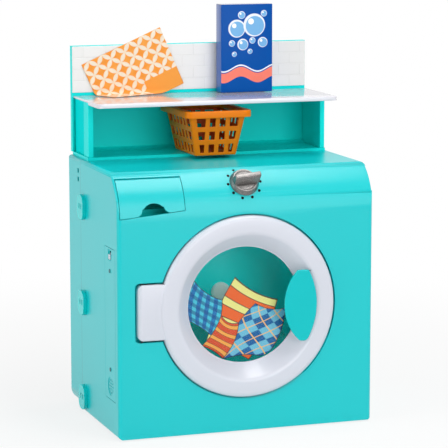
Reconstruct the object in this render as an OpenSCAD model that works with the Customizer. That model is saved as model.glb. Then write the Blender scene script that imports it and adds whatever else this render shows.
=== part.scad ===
// Toy washing machine with a glazed front door, a turning drum, a slanted control
// panel with a knob and a detergent flap, and an open shelf unit on its top.
// Millimetres. x runs across the front, y runs to the back, z up from the floor.

/* [Casing] */
// Width of the casing
casing_w = 400; // [380:1:420]
// Depth of the front casing, from the front face to the seam
front_d = 200; // [195:1:215]
// Depth of the back casing, behind the seam
back_d = 71; // [66:1:80]
// Height of the casing's flat top above the floor
top_z = 394; // [390:1:404]
// Wall thickness of both casings
wall = 3; // [2.6:0.1:3.4]
// Radius of the casing's corners
edge_r = 6; // [5:0.5:8]
// Radius of the back casing's two lower corners
back_corner_r = 25; // [16:1:28]
// Height of the rubber feet
foot_h = 2; // [1.5:0.1:3]
// Radius of a foot
foot_r = 5; // [4:0.5:6]

/* [Control panel] */
// Radius of the curve that the control panel follows
panel_r = 80; // [78:1:84]
// Angle that the control panel turns through before the flat top
panel_turn = 60; // [58:1:62]
// Angle of the knob's axis above the horizontal
knob_angle = 38; // [36:1:40]
// Radius of the knob at its base
knob_r = 22; // [21:0.5:23]
// Radius of the knob's upper face
knob_top_r = 19; // [18:0.5:20]
// Height of the knob's round part
knob_h = 8; // [7:0.5:10]
// Height of the knob's grip bar above its round part
grip_h = 13.5; // [8:0.5:15]
// Length of the pointer, from the knob's axis to its tip
pointer_len = 22; // [21:0.5:24]
// Radius of the circle of dots around the knob
dot_circle_r = 25.5; // [25.5:0.1:27]
// Radius of a dot
dot_r = 1.6; // [1:0.1:1.7]
// Number of dial positions
dial_count = 8; // [6:1:8]
// Angle between two dial positions
dial_step = 35; // [30:1:36]
// Radius of the knob's shaft
shaft_r = 3; // [2.5:0.1:3.5]

/* [Detergent flap] */
// Width of the flap
flap_w = 99; // [90:1:100]
// Gap all round the flap
flap_gap = 1; // [0.8:0.1:1.2]
// Angle of the flap's upper edge on the panel's curve
flap_top_a = 49.5; // [48:0.5:52]
// Height of the flap's lower left corner above the start of the curve
flap_low = 5.5; // [5:0.5:8]
// Rise of the flap's lower edge from left to right
flap_rise = 8.8; // [6:0.1:10]
// Radius of the finger cut-out in the flap
flap_notch_r = 20; // [18:0.5:21]
// Radius of the flares at the cut-out's two ends
flap_flare_r = 10; // [6:0.5:11]
// Radius of the flap's hinge pin
flap_pin_r = 1.2; // [1:0.1:1.4]

/* [Door] */
// Height of the door's centre above the floor
door_z = 190; // [188:1:192]
// Outer radius of the door
door_r = 137; // [136:1:138]
// Gap between the door and its well
door_gap = 2.5; // [2:0.1:3]
// How far the door stands proud of the casing
door_proud = 6; // [5:0.5:7]
// Depth of the door's outer band
band_d = 13; // [12:0.5:14]
// Inner radius of the door's flat band
band_ri = 110; // [109:0.5:112]
// Radius of the window's visible edge
window_r = 88.3; // [86:0.1:90]
// Depth of the cone between the band and the window
cone_d = 24; // [22:0.5:25]
// Thickness of the door's shells
door_t = 3; // [2.5:0.1:3.2]
// Thickness of the window
window_t = 1.6; // [1.2:0.1:2]
// Distance of the hinge axis to the left of the door's centre
hinge_x = 163; // [163:0.5:165]
// Radius of the hinge barrel
barrel_r = 8; // [7:0.1:8.4]
// Height of the hinge barrel
barrel_h = 84; // [70:1:90]
// Radius of the hinge tab's corners
tab_corner = 10; // [6:0.5:12]
// Radius of the hinge pin
pin_r = 2; // [1.5:0.1:2.2]
// Thickness of the handle plate
handle_t = 4; // [3:0.1:4.5]
// Radius of the handle's right edge, around the door's centre
handle_r = 107; // [106:0.5:108]
// Radius of the handle's left edge
handle_left_r = 75.7; // [74:0.1:78]
// Leftmost point of the handle
handle_x = 55.3; // [52:0.1:60]
// Height of the handle's flat end above the door's centre
handle_up = 52; // [48:1:54]
// Depth of the handle's lower end below the door's centre
handle_down = 56; // [50:1:58]

/* [Drum] */
// Inner radius of the drum
drum_r = 101.5; // [100:0.5:102]
// Depth of the drum inside
drum_d = 91; // [80:1:95]
// Radius of the drum's inner corner
drum_corner_r = 35; // [25:1:38]
// Thickness of the drum's wall
drum_t = 2.5; // [2:0.1:2.8]
// Number of lifters
lifter_count = 3; // [2:1:4]
// Radius of the drum's centre cap
hub_r = 15.25; // [13:0.25:17]
// Radius of the drum's axle
axle_r = 5; // [4:0.1:6]

/* [Shelf unit] */
// Width over the shelf unit's posts
hutch_w = 384; // [375:1:390]
// Depth of the shelf unit
hutch_d = 88; // [80:1:88]
// Thickness of the shelf unit's floor
hutch_floor_t = 4.5; // [4:0.1:5]
// Height of the opening under the shelf
hutch_h = 83.2; // [80:0.1:90]
// Width of a post
post_w = 8; // [7:0.5:10]
// Depth of a post
post_d = 27; // [20:1:32]
// Thickness of the shelf's overhang in front
shelf_t = 6.5; // [5:0.5:8]
// Thickness of the shelf above the unit
shelf_thin = 3.3; // [2.5:0.1:4]
// Depth of the shelf
shelf_d = 144.5; // [140:0.5:150]
// Height of the backsplash above the shelf
splash_h = 77; // [65:1:85]
// Height of the plain strip under the tiles
splash_strip = 5; // [4:0.5:8]

/* [Accessories] */
// Width of the basket's base
basket_w = 66; // [60:1:70]
// Length of the basket's base
basket_l = 102; // [96:1:103]
// Height of the basket
basket_h = 70; // [60:1:72]
// Outward lean of the basket's sides
basket_lean = 13; // [10:0.5:14]
// Overhang of the basket's rim
basket_rim = 7; // [5:0.5:7.5]
// Height of the basket's rim
basket_rim_h = 10.5; // [8:0.5:12]
// Wall thickness of the basket
basket_t = 2.2; // [1.8:0.1:2.6]
// Width of the detergent box
box_w = 85; // [75:1:90]
// Depth of the detergent box
box_d = 26; // [22:1:27]
// Height of the detergent box
box_h = 137.5; // [120:0.5:140]
// Length of the dryer sheet
sheet_l = 138; // [130:1:140]
// Width of the dryer sheet
sheet_w = 97; // [92:1:100]
// Thickness of the dryer sheet
sheet_t = 1; // [0.8:0.1:1.5]

/* [Side compartment] */
// Width of the side cover
cover_w = 53; // [52:1:56]
// Height of the side cover
cover_h = 227; // [224:1:232]
// Thickness of the side cover
cover_t = 2; // [1.6:0.1:2.2]
// Gap round the side cover
cover_gap = 0.8; // [0.3:0.1:0.9]
// Travel of the power switch
switch_travel = 5; // [3:0.5:6]
// Radius of a battery cell
cell_r = 7.1; // [7:0.05:7.2]
// Length of a battery cell
cell_l = 50.5; // [49:0.5:51]
// Radius of the loudspeaker's grille
speaker_r = 14; // [10:1:15]

/* [Hidden] */
$fn = 96;

// Clearances: a turning fit, a seat that touches nothing, and a loose gap
fit = 0.06;
seat = 0.3;
cut = 1;
// How far two surfaces cross where they would only just touch
lap = 0.05;

// Colours
teal = [0.10, 0.78, 0.80];
teal_side = [0.42, 0.80, 0.81];
lilac_white = [0.88, 0.89, 0.92];
silver = [0.62, 0.60, 0.59];
orange = [0.91, 0.52, 0.05];
dark = [0.12, 0.12, 0.13];
steel = [0.72, 0.73, 0.75];

// Places that follow from the sizes. The frame's origin is midway between the
// handle's face and the back, so the front face lies at front_y.
casing_d = front_d + back_d;
handle_proud = door_proud + handle_t - 0.5;
front_y = (handle_proud - casing_d) / 2;
panel_z = top_z - panel_r * sin(panel_turn);
half_w = casing_w / 2;
inner_x = half_w - wall;

// Joined pieces stand this far from the casing's seam and corners
clip_proud = 6;
clip_d = 33;
clip_h = 38;
clip_r = 13;
clip_zs = [27, 175, 323];
clip_slot = [4, 8];
clip_slot_ys = [-22.5, -12];
clip_slot_up = 1.5;
screw_zs = [34, 212, 372];
screw_r = 1.5;
screw_boss_r = 5.5;
boss_x = inner_x - screw_boss_r + 0.5;
screw_head_r = 3;
screw_len = 26;
screw_bed = 6;
boss_len = 30;
foot_x = half_w - 12;
foot_y = 14;

// Knob
knob_pocket = 1.9;
knob_seat_r = knob_r + 0.7;
knob_pad_r = knob_seat_r + 0.9;
knob_pad_t = 4.2;
knob_floor = panel_r - knob_pocket;
switch_box = 22;
switch_box_h = 13;
pointer_start_a = 115;

// Flap
flap_pin_r0 = panel_r - wall;
flap_barrel_r = wall - 0.2;
flap_x0 = -half_w + wall + flap_gap;
flap_x1 = flap_x0 + flap_w;
flap_axis_a = flap_top_a - asin(wall / flap_pin_r0);
flap_axis = [panel_r - flap_pin_r0 * cos(flap_axis_a), panel_z + flap_pin_r0 * sin(flap_axis_a)];
tray_t = 2;
tray_d = 76;
tray_h = 54;
tray_z0 = panel_z - 2.5;
tray_z1 = tray_z0 + tray_h;
tray_step_d = 30;
tray_step_h = 14;
flap_boss = 5;
flap_notch_sink = 3.5;

// Door
well_r = door_r + door_gap;
band_back = band_d - door_proud;
cone_run = band_ri - window_r;
cone_wide = door_t * norm([cone_run, cone_d]) / cone_d;
lip_y = cone_d - door_proud;
lip_t = 2;
lip_wide = 9.7;
band_round = 8;
glass_y = lip_y + lip_t;
liner_y = glass_y + window_t;
liner_t = 2.2;
liner_back = liner_y + liner_t;
liner_r = door_r - door_t - seat;
neck_r = window_r + 19;
well_floor = band_back + 2;
well_neck_r = neck_r + 4.2;
well_back = liner_back + 8;
barrel_front = 3;
hinge_y = barrel_r - barrel_front;
pocket_gap = 3.5;
pocket_corner = tab_corner - pocket_gap;
pocket_z = barrel_h / 2 + door_gap;
pocket_y = hinge_y + barrel_r + 1.5;
pocket_x = hinge_x + barrel_r + pocket_gap;
boss_reach = 9;
print_t = 0.4;
rim_in = 15;
slot_down = 22;
slot_pitch = 13;
plate_screw_l = 12;
cover_screw_l = 8;
chip_l = 14;
chip_up = 30;
liner_screw_r = (door_r + neck_r) / 2;
liner_as = [30:60:330];
latch_w = 8;
latch_r = well_neck_r + wall + latch_w - 0.5;
latch_len = 12;

// Drum
drum_y = well_back + 2;
drum_back = drum_y + drum_d;
mouth_r = drum_r - 1.5;
flange_r = drum_r + drum_t + 3;
bush_y = drum_back + drum_t + 8;
bush_l = 16;
bush_t = 4;
plate_y = bush_y + 4;
plate_t = 4;
boss_circle = 124;
bulk_r = boss_circle + 8;

// Side compartment
cover_y0 = 16;
cover_z0 = 55;
ledge = 2;
e_t = 2;
e_d = 16.5;
cell_pitch = 2 * cell_r + 1;
cells = 3;
cell_y = cover_y0 + cover_w / 2;
cell_up = 54;
cell_z0 = cover_z0 + cell_up;
cell_gap = 1.6;
speaker_up = 19.5;
speaker_z = cover_z0 + speaker_up;
board_t = 1.6;
board_z0 = cell_z0 + cell_l + 16;
board_h = 100;
knob_slot_down = 18.5;
knob_slot_z = cover_z0 + cover_h - knob_slot_down;
cover_screw_up = 45;
cover_screw_down = 34;
cover_screw_zs = [cover_z0 + cover_screw_up, cover_z0 + cover_h - cover_screw_down];
slider_w = 7;
slider_h = 7.5;
switch_well_w = 17;

// Shelf unit
hutch_x = hutch_w / 2;
hutch_y1 = casing_d - 3;
hutch_y0 = hutch_y1 - hutch_d;
hutch_z0 = top_z + hutch_floor_t;
hutch_z1 = hutch_z0 + hutch_h;
shelf_z = hutch_z1 + shelf_thin;
shelf_y0 = hutch_y1 + 0.5 - shelf_d;
back_t = 3;
side_t = 3;
side_in = 2.5;
flange_t = 2.3;
cove = [16, 5];
splash_t = 3.5;
splash_x0 = -hutch_x - 3;
splash_x1 = hutch_x - 2.5;
splash_y1 = hutch_y1 - back_t;
splash_y0 = splash_y1 - splash_t;
tile_t = 1.5;
tile_y = splash_y0 - tile_t;
tab_xs = [-150, -78, 78, 150];
tab_w = 20;
tab_down = 11;
peg_r = 3;
peg_l = 7;
peg_x = hutch_x - 18;

// Accessories
rest_gap = 0.3;
basket_x = -1;
basket_y1 = splash_y1 - 0.5 - basket_lean - basket_rim;
basket_y0 = basket_y1 - basket_l;
basket_z = hutch_z0 + rest_gap;
box_x = 81;
box_y1 = tile_y - 2.5;
box_t = 1.5;
sheet_tilt = 23.7;
sheet_left = -180;
sheet_fold_z = shelf_z + rest_gap;
sheet_top = 47.5;

// ---------- helpers ----------

// Moves a piece from the machine's front-face frame to the part's frame
module machine() {
    translate([0, front_y, 0]) children();
}

// A rectangle from corner to corner with round corners of true arcs
module round_rect(x0, y0, x1, y1, r) {
    translate([x0 + r, y0]) square([x1 - x0 - 2 * r, y1 - y0]);
    translate([x0, y0 + r]) square([x1 - x0, y1 - y0 - 2 * r]);
    for (x = [x0 + r, x1 - r], y = [y0 + r, y1 - r])
        translate([x, y]) circle(r);
}

// Extrudes a (y, z) outline across the machine, from x0 to x1
module across(x0, x1) {
    translate([x0, 0, 0]) rotate([90, 0, 90]) linear_extrude(x1 - x0) children();
}

// Extrudes an (x, z) outline to the back, from y0 to y1
module backward(y0, y1) {
    translate([0, y1, 0]) rotate([90, 0, 0]) linear_extrude(y1 - y0) children();
}

// A plain block from corner to corner
module block(a, b) {
    translate(a) cube(b - a);
}

// The door's axis: local z is the depth behind the front face
module on_door_axis() {
    translate([0, 0, door_z]) rotate([-90, 0, 0]) children();
}

// Spins a (radius, depth) outline around the door's axis
module spun() {
    on_door_axis() rotate_extrude() children();
}

// A round bar along the depth of the machine
module rod_y(x, z, y0, y1, r) {
    translate([x, y0, z]) rotate([-90, 0, 0]) cylinder(h = y1 - y0, r = r);
}

// A place on the panel's curve: local z leaves the curve's centre line
module on_panel(x, a) {
    translate([x, panel_r, panel_z]) rotate([90 - a, 0, 0]) children();
}

// A sector of a ring around the panel's centre line, in (y, z)
module panel_sector(r0, r1, a0, a1) {
    reach = 2 * panel_r;
    translate([panel_r, panel_z]) intersection() {
        difference() {
            circle(r1);
            circle(r0);
        }
        polygon([[0, 0], [-reach * cos(a0), reach * sin(a0)],
                 [-reach * cos(a1), reach * sin(a1)]]);
    }
}

// ---------- casings ----------

// Side view of the front casing, moved inwards by i
module front_side(i, y1) {
    rise = top_z - i - panel_z;
    translate([i, foot_h + i]) square([y1 - i, panel_z - foot_h - i]);
    intersection() {
        translate([panel_r, panel_z]) circle(panel_r - i);
        translate([i, panel_z - cut]) square([panel_r - i, rise + cut]);
    }
    translate([0.75 * panel_r, panel_z - cut]) square([y1 - 0.75 * panel_r, rise + cut]);
}

// Solid of the front casing, moved inwards by i and ending at y1
module front_solid(i, y1) {
    intersection() {
        across(-half_w + i, half_w - i) front_side(i, y1);
        backward(0, y1) round_rect(-half_w + i, foot_h + i, half_w - i, top_z - i + lap, edge_r - i + 0.5);
        linear_extrude(top_z) round_rect(-half_w + i, i, half_w - i, y1 + 2 * edge_r, edge_r - i + 0.5);
    }
}

// Solid of the back casing, moved inwards by i and starting at y0
module back_solid(i, y0) {
    y1 = casing_d - i;
    r = edge_r - i + 0.5;
    intersection() {
        backward(y0, y1) {
            round_rect(-half_w + i, foot_h + back_corner_r, half_w - i, top_z - i, r);
            round_rect(-half_w + i, foot_h + i, half_w - i, top_z / 2, back_corner_r - i);
        }
        linear_extrude(top_z) round_rect(-half_w + i, y0 - 3 * edge_r, half_w - i, y1, r);
        across(-half_w, half_w) round_rect(y0 - 3 * edge_r, foot_h + i, y1, top_z - i, r);
    }
}

// Door well, behind the front face: (radius, depth)
module well_outline() {
    translate([well_r, 0]) square([wall, well_floor + wall]);
    translate([well_neck_r, well_floor]) square([well_r + wall - well_neck_r, wall]);
    translate([well_neck_r, well_floor]) square([wall, well_back - well_floor]);
    translate([mouth_r, well_back - wall]) square([well_neck_r + wall - mouth_r, wall]);
}

module hinge_pocket_solid() {
    z0 = door_z - pocket_z - wall;
    z1 = door_z + pocket_z + wall;
    block([-pocket_x - wall, 0, z0], [-well_r + 6, pocket_y + wall, z1]);
    for (z = [door_z - pocket_z - boss_reach, door_z + pocket_z])
        block([-hinge_x - 7, 0, z], [-hinge_x + 7, hinge_y + 6, z + boss_reach]);
}

// The room that the pocket's walls need behind the front
module hinge_pocket_room() {
    room = wall + 0.8;
    block([-pocket_x - room, -cut, door_z - pocket_z - room],
          [-well_r, pocket_y + room, door_z + pocket_z + room]);
}

module hinge_pocket_cut() {
    backward(-cut, pocket_y) intersection() {
        round_rect(-pocket_x, door_z - pocket_z, 0, door_z + pocket_z, pocket_corner);
        translate([-pocket_x, 0]) square([pocket_x - well_r + 0.1, top_z]);
    }
    block([-well_r, -cut, door_z - pocket_z], [-well_r * 0.86, well_floor, door_z + pocket_z]);
}

// Side cover outline in (y, z), grown by g
module cover_outline(g) {
    round_rect(cover_y0 - g, cover_z0 - g, cover_y0 + cover_w + g, cover_z0 + cover_h + g, 3 + g);
}

module flap_outline(g) {
    z0 = panel_z + flap_low - g;
    polygon([[flap_x0 - g, z0], [flap_x1 + g, z0 + flap_rise * (flap_w + 2 * g) / flap_w],
             [flap_x1 + g, top_z + cut], [flap_x0 - g, top_z + cut]]);
}

module screw_bosses() {
    for (s = [-1, 1], z = screw_zs)
        rod_y(s * boss_x, z, front_d - boss_len, front_d, screw_boss_r);
}

module front_casing() {
    color(teal) machine() difference() {
        union() {
            difference() {
                front_solid(0, front_d);
                front_solid(wall, front_d + cut);
                rod_y(0, door_z, -cut, wall + cut, well_r);
            }
            spun() well_outline();
            hinge_pocket_solid();
            screw_bosses();
            for (a = [45:90:315])
                rod_y(boss_circle * cos(a), door_z + boss_circle * sin(a),
                      well_floor + wall / 2, plate_y, screw_boss_r);
            on_panel(0, knob_angle) translate([0, 0, knob_floor - knob_pad_t])
                cylinder(h = knob_pad_t, r = knob_pad_r);
            on_panel(0, flap_axis_a)
                block([flap_x1 + tray_t + seat, -flap_boss, flap_pin_r0 - flap_boss],
                      [flap_x1 + flap_gap + flap_boss, flap_boss - 1, panel_r - 1]);
        }
        hinge_pocket_cut();
        translate([-hinge_x, hinge_y, door_z - pocket_z - boss_reach + cut])
            cylinder(h = 2 * (pocket_z + boss_reach - cut), r = pin_r + fit);
        for (s = [-1, 1], z = screw_zs)
            rod_y(s * boss_x, z, front_d - boss_len + 2, front_d + cut,
                  screw_r + fit);
        for (a = [45:90:315])
            rod_y(boss_circle * cos(a), door_z + boss_circle * sin(a), plate_y - 14, plate_y + cut,
                  screw_r + fit);
        // flap opening with its pin holes
        intersection() {
            backward(-cut, panel_r) flap_outline(flap_gap);
            across(-half_w, 0) panel_sector(panel_r - 2 * wall - 1.2, panel_r + cut, 0,
                                            flap_top_a + flap_gap / panel_r * 180 / PI);
        }
        across(flap_x0 - flap_gap - 2, flap_x1 + flap_gap + 4.5)
            translate(flap_axis) circle(flap_pin_r + fit);
        // knob seat and shaft hole
        on_panel(0, knob_angle) {
            translate([0, 0, knob_floor]) cylinder(h = 2 * knob_pocket, r = knob_seat_r);
            translate([0, 0, knob_floor - 2 * knob_pad_t]) cylinder(h = 4 * knob_pad_t, r = shaft_r + 0.6);
        }
        // side compartment
        across(-half_w - cut, -half_w + cover_t + 0.05) cover_outline(cover_gap);
        across(-half_w - cut, -inner_x + cut) cover_outline(-ledge);
        // latch slot in the well's floor
        block([latch_r - latch_w / 2 - 1, well_floor - cut, door_z - latch_w / 2 - 1],
              [latch_r + latch_w / 2 + 1, well_floor + wall + cut, door_z + latch_w / 2 + 1]);
        for (s = [-1, 1])
            translate([s * peg_x, hutch_y0 + 9, top_z - wall - cut])
                cylinder(h = wall + 2 * cut, r = peg_r + 0.2);
    }
}

module back_casing() {
    color(teal_side) machine() difference() {
        union() {
            difference() {
                back_solid(0, front_d);
                back_solid(wall, front_d - cut);
            }
            for (s = [-1, 1], z = screw_zs)
                rod_y(s * boss_x, z, front_d, casing_d - wall / 2, screw_boss_r);
        }
        for (s = [-1, 1], z = screw_zs) {
            rod_y(s * boss_x, z, front_d - cut, casing_d + cut, screw_r + fit);
            rod_y(s * boss_x, z, front_d + screw_bed, casing_d + cut,
                  screw_head_r + 0.4);
        }
        for (s = [-1, 1], z = [top_z - slot_down, top_z - slot_down - slot_pitch])
            block([s * half_w - 2 * wall, front_d + 9, z], [s * half_w + 2 * wall, front_d + 16, z + 7]);
        for (s = [-1, 1])
            translate([s * peg_x, hutch_y1 - 18, top_z - wall - cut])
                cylinder(h = wall + 2 * cut, r = peg_r + 0.2);
    }
}

module casing_clips() {
    y1 = front_d + 2;
    color(teal_side) machine() for (s = [-1, 1], z = clip_zs)
        difference() {
            across(min(s * half_w, s * (half_w + clip_proud)), max(s * half_w, s * (half_w + clip_proud)))
                round_rect(y1 - clip_d, z - clip_h / 2, y1, z + clip_h / 2, clip_r);
            for (y = clip_slot_ys)
                translate([s * half_w, front_d + y, z + clip_slot_up])
                    cube([4 * clip_proud, clip_slot[0], clip_slot[1]], center = true);
        }
}

module casing_screws() {
    color(steel) machine() for (s = [-1, 1], z = screw_zs) {
        x = s * boss_x;
        rod_y(x, z, front_d + screw_bed - screw_len, front_d + screw_bed, screw_r);
        rod_y(x, z, front_d + screw_bed, front_d + screw_bed + 2.5, screw_head_r);
    }
}

module feet() {
    color(dark) machine() for (x = [-foot_x, foot_x], y = [foot_y, front_d - foot_y])
        translate([x, y, 0]) cylinder(h = foot_h, r = foot_r);
    color(dark) machine() for (x = [-foot_x + back_corner_r, foot_x - back_corner_r])
        translate([x, casing_d - foot_y, 0]) cylinder(h = foot_h, r = foot_r);
}

// ---------- drum ----------

// Bowl outline of radius r and corner rc, from the drum's mouth to y1
module bowl(r, rc, y1) {
    translate([0, drum_y]) square([r, y1 - rc - drum_y]);
    translate([0, drum_y]) square([r - rc, y1 - drum_y]);
    translate([r - rc, y1 - rc]) circle(rc);
}

module drum() {
    color(teal) machine() difference() {
        union() {
            spun() {
                difference() {
                    intersection() {
                        bowl(drum_r + drum_t, drum_corner_r + drum_t, drum_back + drum_t);
                        translate([0, drum_y]) square([drum_r + drum_t, drum_d + drum_t]);
                    }
                    translate([0, -cut]) bowl(drum_r, drum_corner_r, drum_back + cut);
                    translate([0, drum_y - cut]) square([drum_r, cut + 0.01]);
                }
                translate([drum_r, drum_y]) square([flange_r - drum_r, drum_t]);
                translate([0, drum_back]) square([drum_r - drum_corner_r, drum_t]);
            }
            intersection() {
                spun() intersection() {
                    bowl(drum_r + drum_t / 2, drum_corner_r + drum_t / 2, drum_back + drum_t / 2);
                    translate([0, drum_y]) square([drum_r + drum_t, drum_d + drum_t]);
                }
                on_door_axis() for (k = [0:lifter_count - 1])
                    rotate([0, 0, 30 + k * 360 / lifter_count]) translate([drum_r + 3, 0, drum_y + 6])
                        cylinder(h = drum_d - 12, r1 = 15, r2 = 10);
            }
        }
        rod_y(0, door_z, drum_back - cut, drum_back + 2 * drum_t, axle_r + 1);
    }
}

module drum_hub_cap() {
    color([0.9, 0.93, 0.96]) machine() {
        rod_y(0, door_z, drum_back - 3, drum_back, hub_r);
        on_door_axis() translate([0, 0, drum_back - 5]) cylinder(h = 2, r1 = hub_r - 3, r2 = hub_r);
    }
}

module drum_axle() {
    color(steel) machine() {
        rod_y(0, door_z, drum_back, drum_back + drum_t, axle_r + 1 - fit);
        rod_y(0, door_z, drum_back + drum_t, drum_back + drum_t + 2.5, 3 * axle_r);
        rod_y(0, door_z, drum_back + drum_t, bush_y - seat, axle_r + 2.5);
        rod_y(0, door_z, drum_back + drum_t, bush_y + bush_l + 6, axle_r);
    }
}

module axle_clip() {
    color(dark) machine() difference() {
        rod_y(0, door_z, bush_y + bush_l + seat, bush_y + bush_l + seat + 2, axle_r + 3.5);
        rod_y(0, door_z, bush_y, bush_y + bush_l + 2 * cut + 6, axle_r);
    }
}

module drum_bearing() {
    color([0.85, 0.8, 0.6]) machine() difference() {
        rod_y(0, door_z, bush_y, bush_y + bush_l, axle_r + bush_t);
        rod_y(0, door_z, bush_y - cut, bush_y + bush_l + cut, axle_r + fit);
    }
}

module drum_bulkhead() {
    color([0.8, 0.8, 0.8]) machine() difference() {
        union() {
            rod_y(0, door_z, plate_y, plate_y + plate_t, bulk_r);
            rod_y(0, door_z, bush_y + 1, bush_y + bush_l - 1, axle_r + bush_t + 4);
        }
        rod_y(0, door_z, bush_y - cut, bush_y + bush_l + cut, axle_r + bush_t);
        for (a = [0:90:270])
            rod_y(0.58 * bulk_r * cos(a), door_z + 0.58 * bulk_r * sin(a), plate_y - cut,
                  plate_y + plate_t + cut, 0.24 * bulk_r);
        for (a = [45:90:315])
            rod_y(boss_circle * cos(a), door_z + boss_circle * sin(a), plate_y - cut,
                  plate_y + plate_t + cut, screw_r + fit);
    }
}

module bulkhead_screws() {
    color(steel) machine() for (a = [45:90:315]) {
        x = boss_circle * cos(a);
        z = door_z + boss_circle * sin(a);
        rod_y(x, z, plate_y - plate_screw_l, plate_y + plate_t, screw_r);
        rod_y(x, z, plate_y + plate_t, plate_y + plate_t + 2.5, screw_head_r);
    }
}

// ---------- door ----------

// Front skin of the door, as (radius, depth)
module ring_outline() {
    f = -door_proud;
    difference() {
        union() {
            translate([band_ri, f]) square([door_r - band_round - band_ri, band_d]);
            translate([band_ri, f + band_round]) square([door_r - band_ri, band_d - band_round]);
            translate([door_r - band_round, f + band_round]) circle(band_round);
        }
        translate([band_ri - cut, f + door_t])
            square([liner_r + seat - band_round + door_t - band_ri + cut, band_d]);
        translate([band_ri - cut, f + band_round]) square([liner_r + seat - band_ri + cut, band_d]);
        translate([door_r - band_round, f + band_round]) circle(band_round - door_t);
    }
    polygon([[band_ri, f], [window_r, lip_y], [window_r + cone_wide, lip_y], [band_ri + cone_wide, f]]);
    translate([window_r, lip_y]) square([lip_wide, lip_t]);
}

// Everything behind the door's front surface, as (radius, depth)
module behind_cone() {
    polygon([[band_ri, -door_proud], [window_r, lip_y], [window_r, lip_y + 2 * band_d],
             [door_r, lip_y + 2 * band_d], [door_r, -door_proud]]);
}

module hinge_tab() {
    z0 = door_z - barrel_h / 2;
    z1 = door_z + barrel_h / 2;
    difference() {
        intersection() {
            union() {
                translate([-hinge_x, hinge_y, z0]) cylinder(h = barrel_h, r = barrel_r);
                block([-hinge_x, -barrel_front, z0], [rim_in - door_r, band_back, z1]);
            }
            backward(-door_proud, pocket_y)
                round_rect(-hinge_x - barrel_r, z0, rim_in - door_r + 20, z1, tab_corner);
        }
        rod_y(0, door_z, -2 * door_proud, pocket_y, door_r - door_t + 0.5);
    }
}

module door_ring() {
    color(lilac_white) machine() difference() {
        union() {
            spun() ring_outline();
            hinge_tab();
            for (a = liner_as)
                rod_y(liner_screw_r * cos(a), door_z + liner_screw_r * sin(a), door_t - door_proud - 0.5,
                      band_back - liner_t, 4);
        }
        translate([-hinge_x, hinge_y, door_z - barrel_h]) cylinder(h = 2 * barrel_h, r = pin_r + fit);
        for (a = liner_as)
            rod_y(liner_screw_r * cos(a), door_z + liner_screw_r * sin(a), door_t - door_proud - 0.8,
                  2 * band_d, screw_r + fit);
    }
}
module door_liner() {
    ri = window_r + 16.2;
    color(lilac_white) machine() difference() {
        spun() {
            translate([ri, band_back - liner_t]) square([liner_r - ri, liner_t]);
            translate([ri, band_back - liner_t]) square([neck_r - ri, liner_back - band_back + liner_t]);
            translate([window_r + 1.5, liner_y]) square([neck_r - window_r - 1.5, liner_t]);
        }
        for (a = liner_as)
            rod_y(liner_screw_r * cos(a), door_z + liner_screw_r * sin(a), 0, 2 * band_d, screw_r + fit);
    }
}

module door_window() {
    color([0.85, 0.93, 0.95, 0.35]) machine()
        rod_y(0, door_z, glass_y, liner_y, window_r + lip_wide - seat);
}

module laundry_print() {
    color([0.95, 0.6, 0.3]) machine() intersection() {
        rod_y(0, door_z, liner_y, liner_y + print_t, window_r - 1);
        block([-window_r, liner_y - cut, door_z - window_r], [window_r, liner_back, door_z + 22]);
    }
}

// Lens outline of the handle, in (x, z) around the door's centre
module handle_outline() {
    intersection() {
        circle(handle_r);
        translate([handle_x + handle_left_r, 0]) circle(handle_left_r);
        translate([0, -handle_down]) square([handle_r, handle_down + handle_up]);
    }
}

module door_handle() {
    f = -door_proud - handle_t + 0.5;
    color(teal) machine() difference() {
        translate([0, 0, door_z]) intersection() {
            backward(f, lip_y) handle_outline();
            union() {
                backward(f, f + handle_t) square(4 * door_r, center = true);
                difference() {
                    backward(f, lip_y) square(4 * door_r, center = true);
                    translate([0, f, 0]) rotate([-90, 0, 0]) cylinder(h = 2 * cone_d, r = handle_r - 4);
                }
                for (s = [-1, 1]) difference() {
                    translate([0, 0, s * (handle_up + 14)]) block([0, f, -25], [door_r, lip_y, 25]);
                    translate([0, f - cut, 0]) rotate([-90, 0, 0])
                        cylinder(h = 2 * cone_d, r = window_r + 2);
                }
            }
        }
        spun() behind_cone();
    }
}

module liner_screws() {
    color(steel) machine() for (a = liner_as) {
        x = liner_screw_r * cos(a);
        z = door_z + liner_screw_r * sin(a);
        rod_y(x, z, -door_proud + door_t, band_back, screw_r);
        rod_y(x, z, band_back, band_back + 1.4, screw_head_r);
    }
}

module door_latch() {
    color(lilac_white) machine() {
        block([latch_r - latch_w / 2, band_back, door_z - latch_w / 2],
              [latch_r + latch_w / 2 - 3, band_back + latch_len, door_z + latch_w / 2]);
        block([latch_r - latch_w / 2, band_back + latch_len - 3, door_z - latch_w / 2],
              [latch_r + latch_w / 2 - 1, band_back + latch_len, door_z + latch_w / 2]);
    }
}

module latch_catch() {
    y0 = well_floor + wall;
    g = 1.2;
    color(dark) machine() difference() {
        block([latch_r - latch_w + 1, y0, door_z - latch_w],
              [latch_r + latch_w, y0 + latch_len, door_z + latch_w]);
        block([latch_r - latch_w / 2 - g, y0 - cut, door_z - latch_w / 2 - g],
              [latch_r + latch_w / 2 + g, y0 + latch_len - 2, door_z + latch_w / 2 + g]);
    }
}

module hinge_pin() {
    color(steel) machine() translate([-hinge_x, hinge_y, door_z - pocket_z - boss_reach + 2])
        cylinder(h = 2 * (pocket_z + boss_reach - 2), r = pin_r);
}

// ---------- control panel ----------

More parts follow.
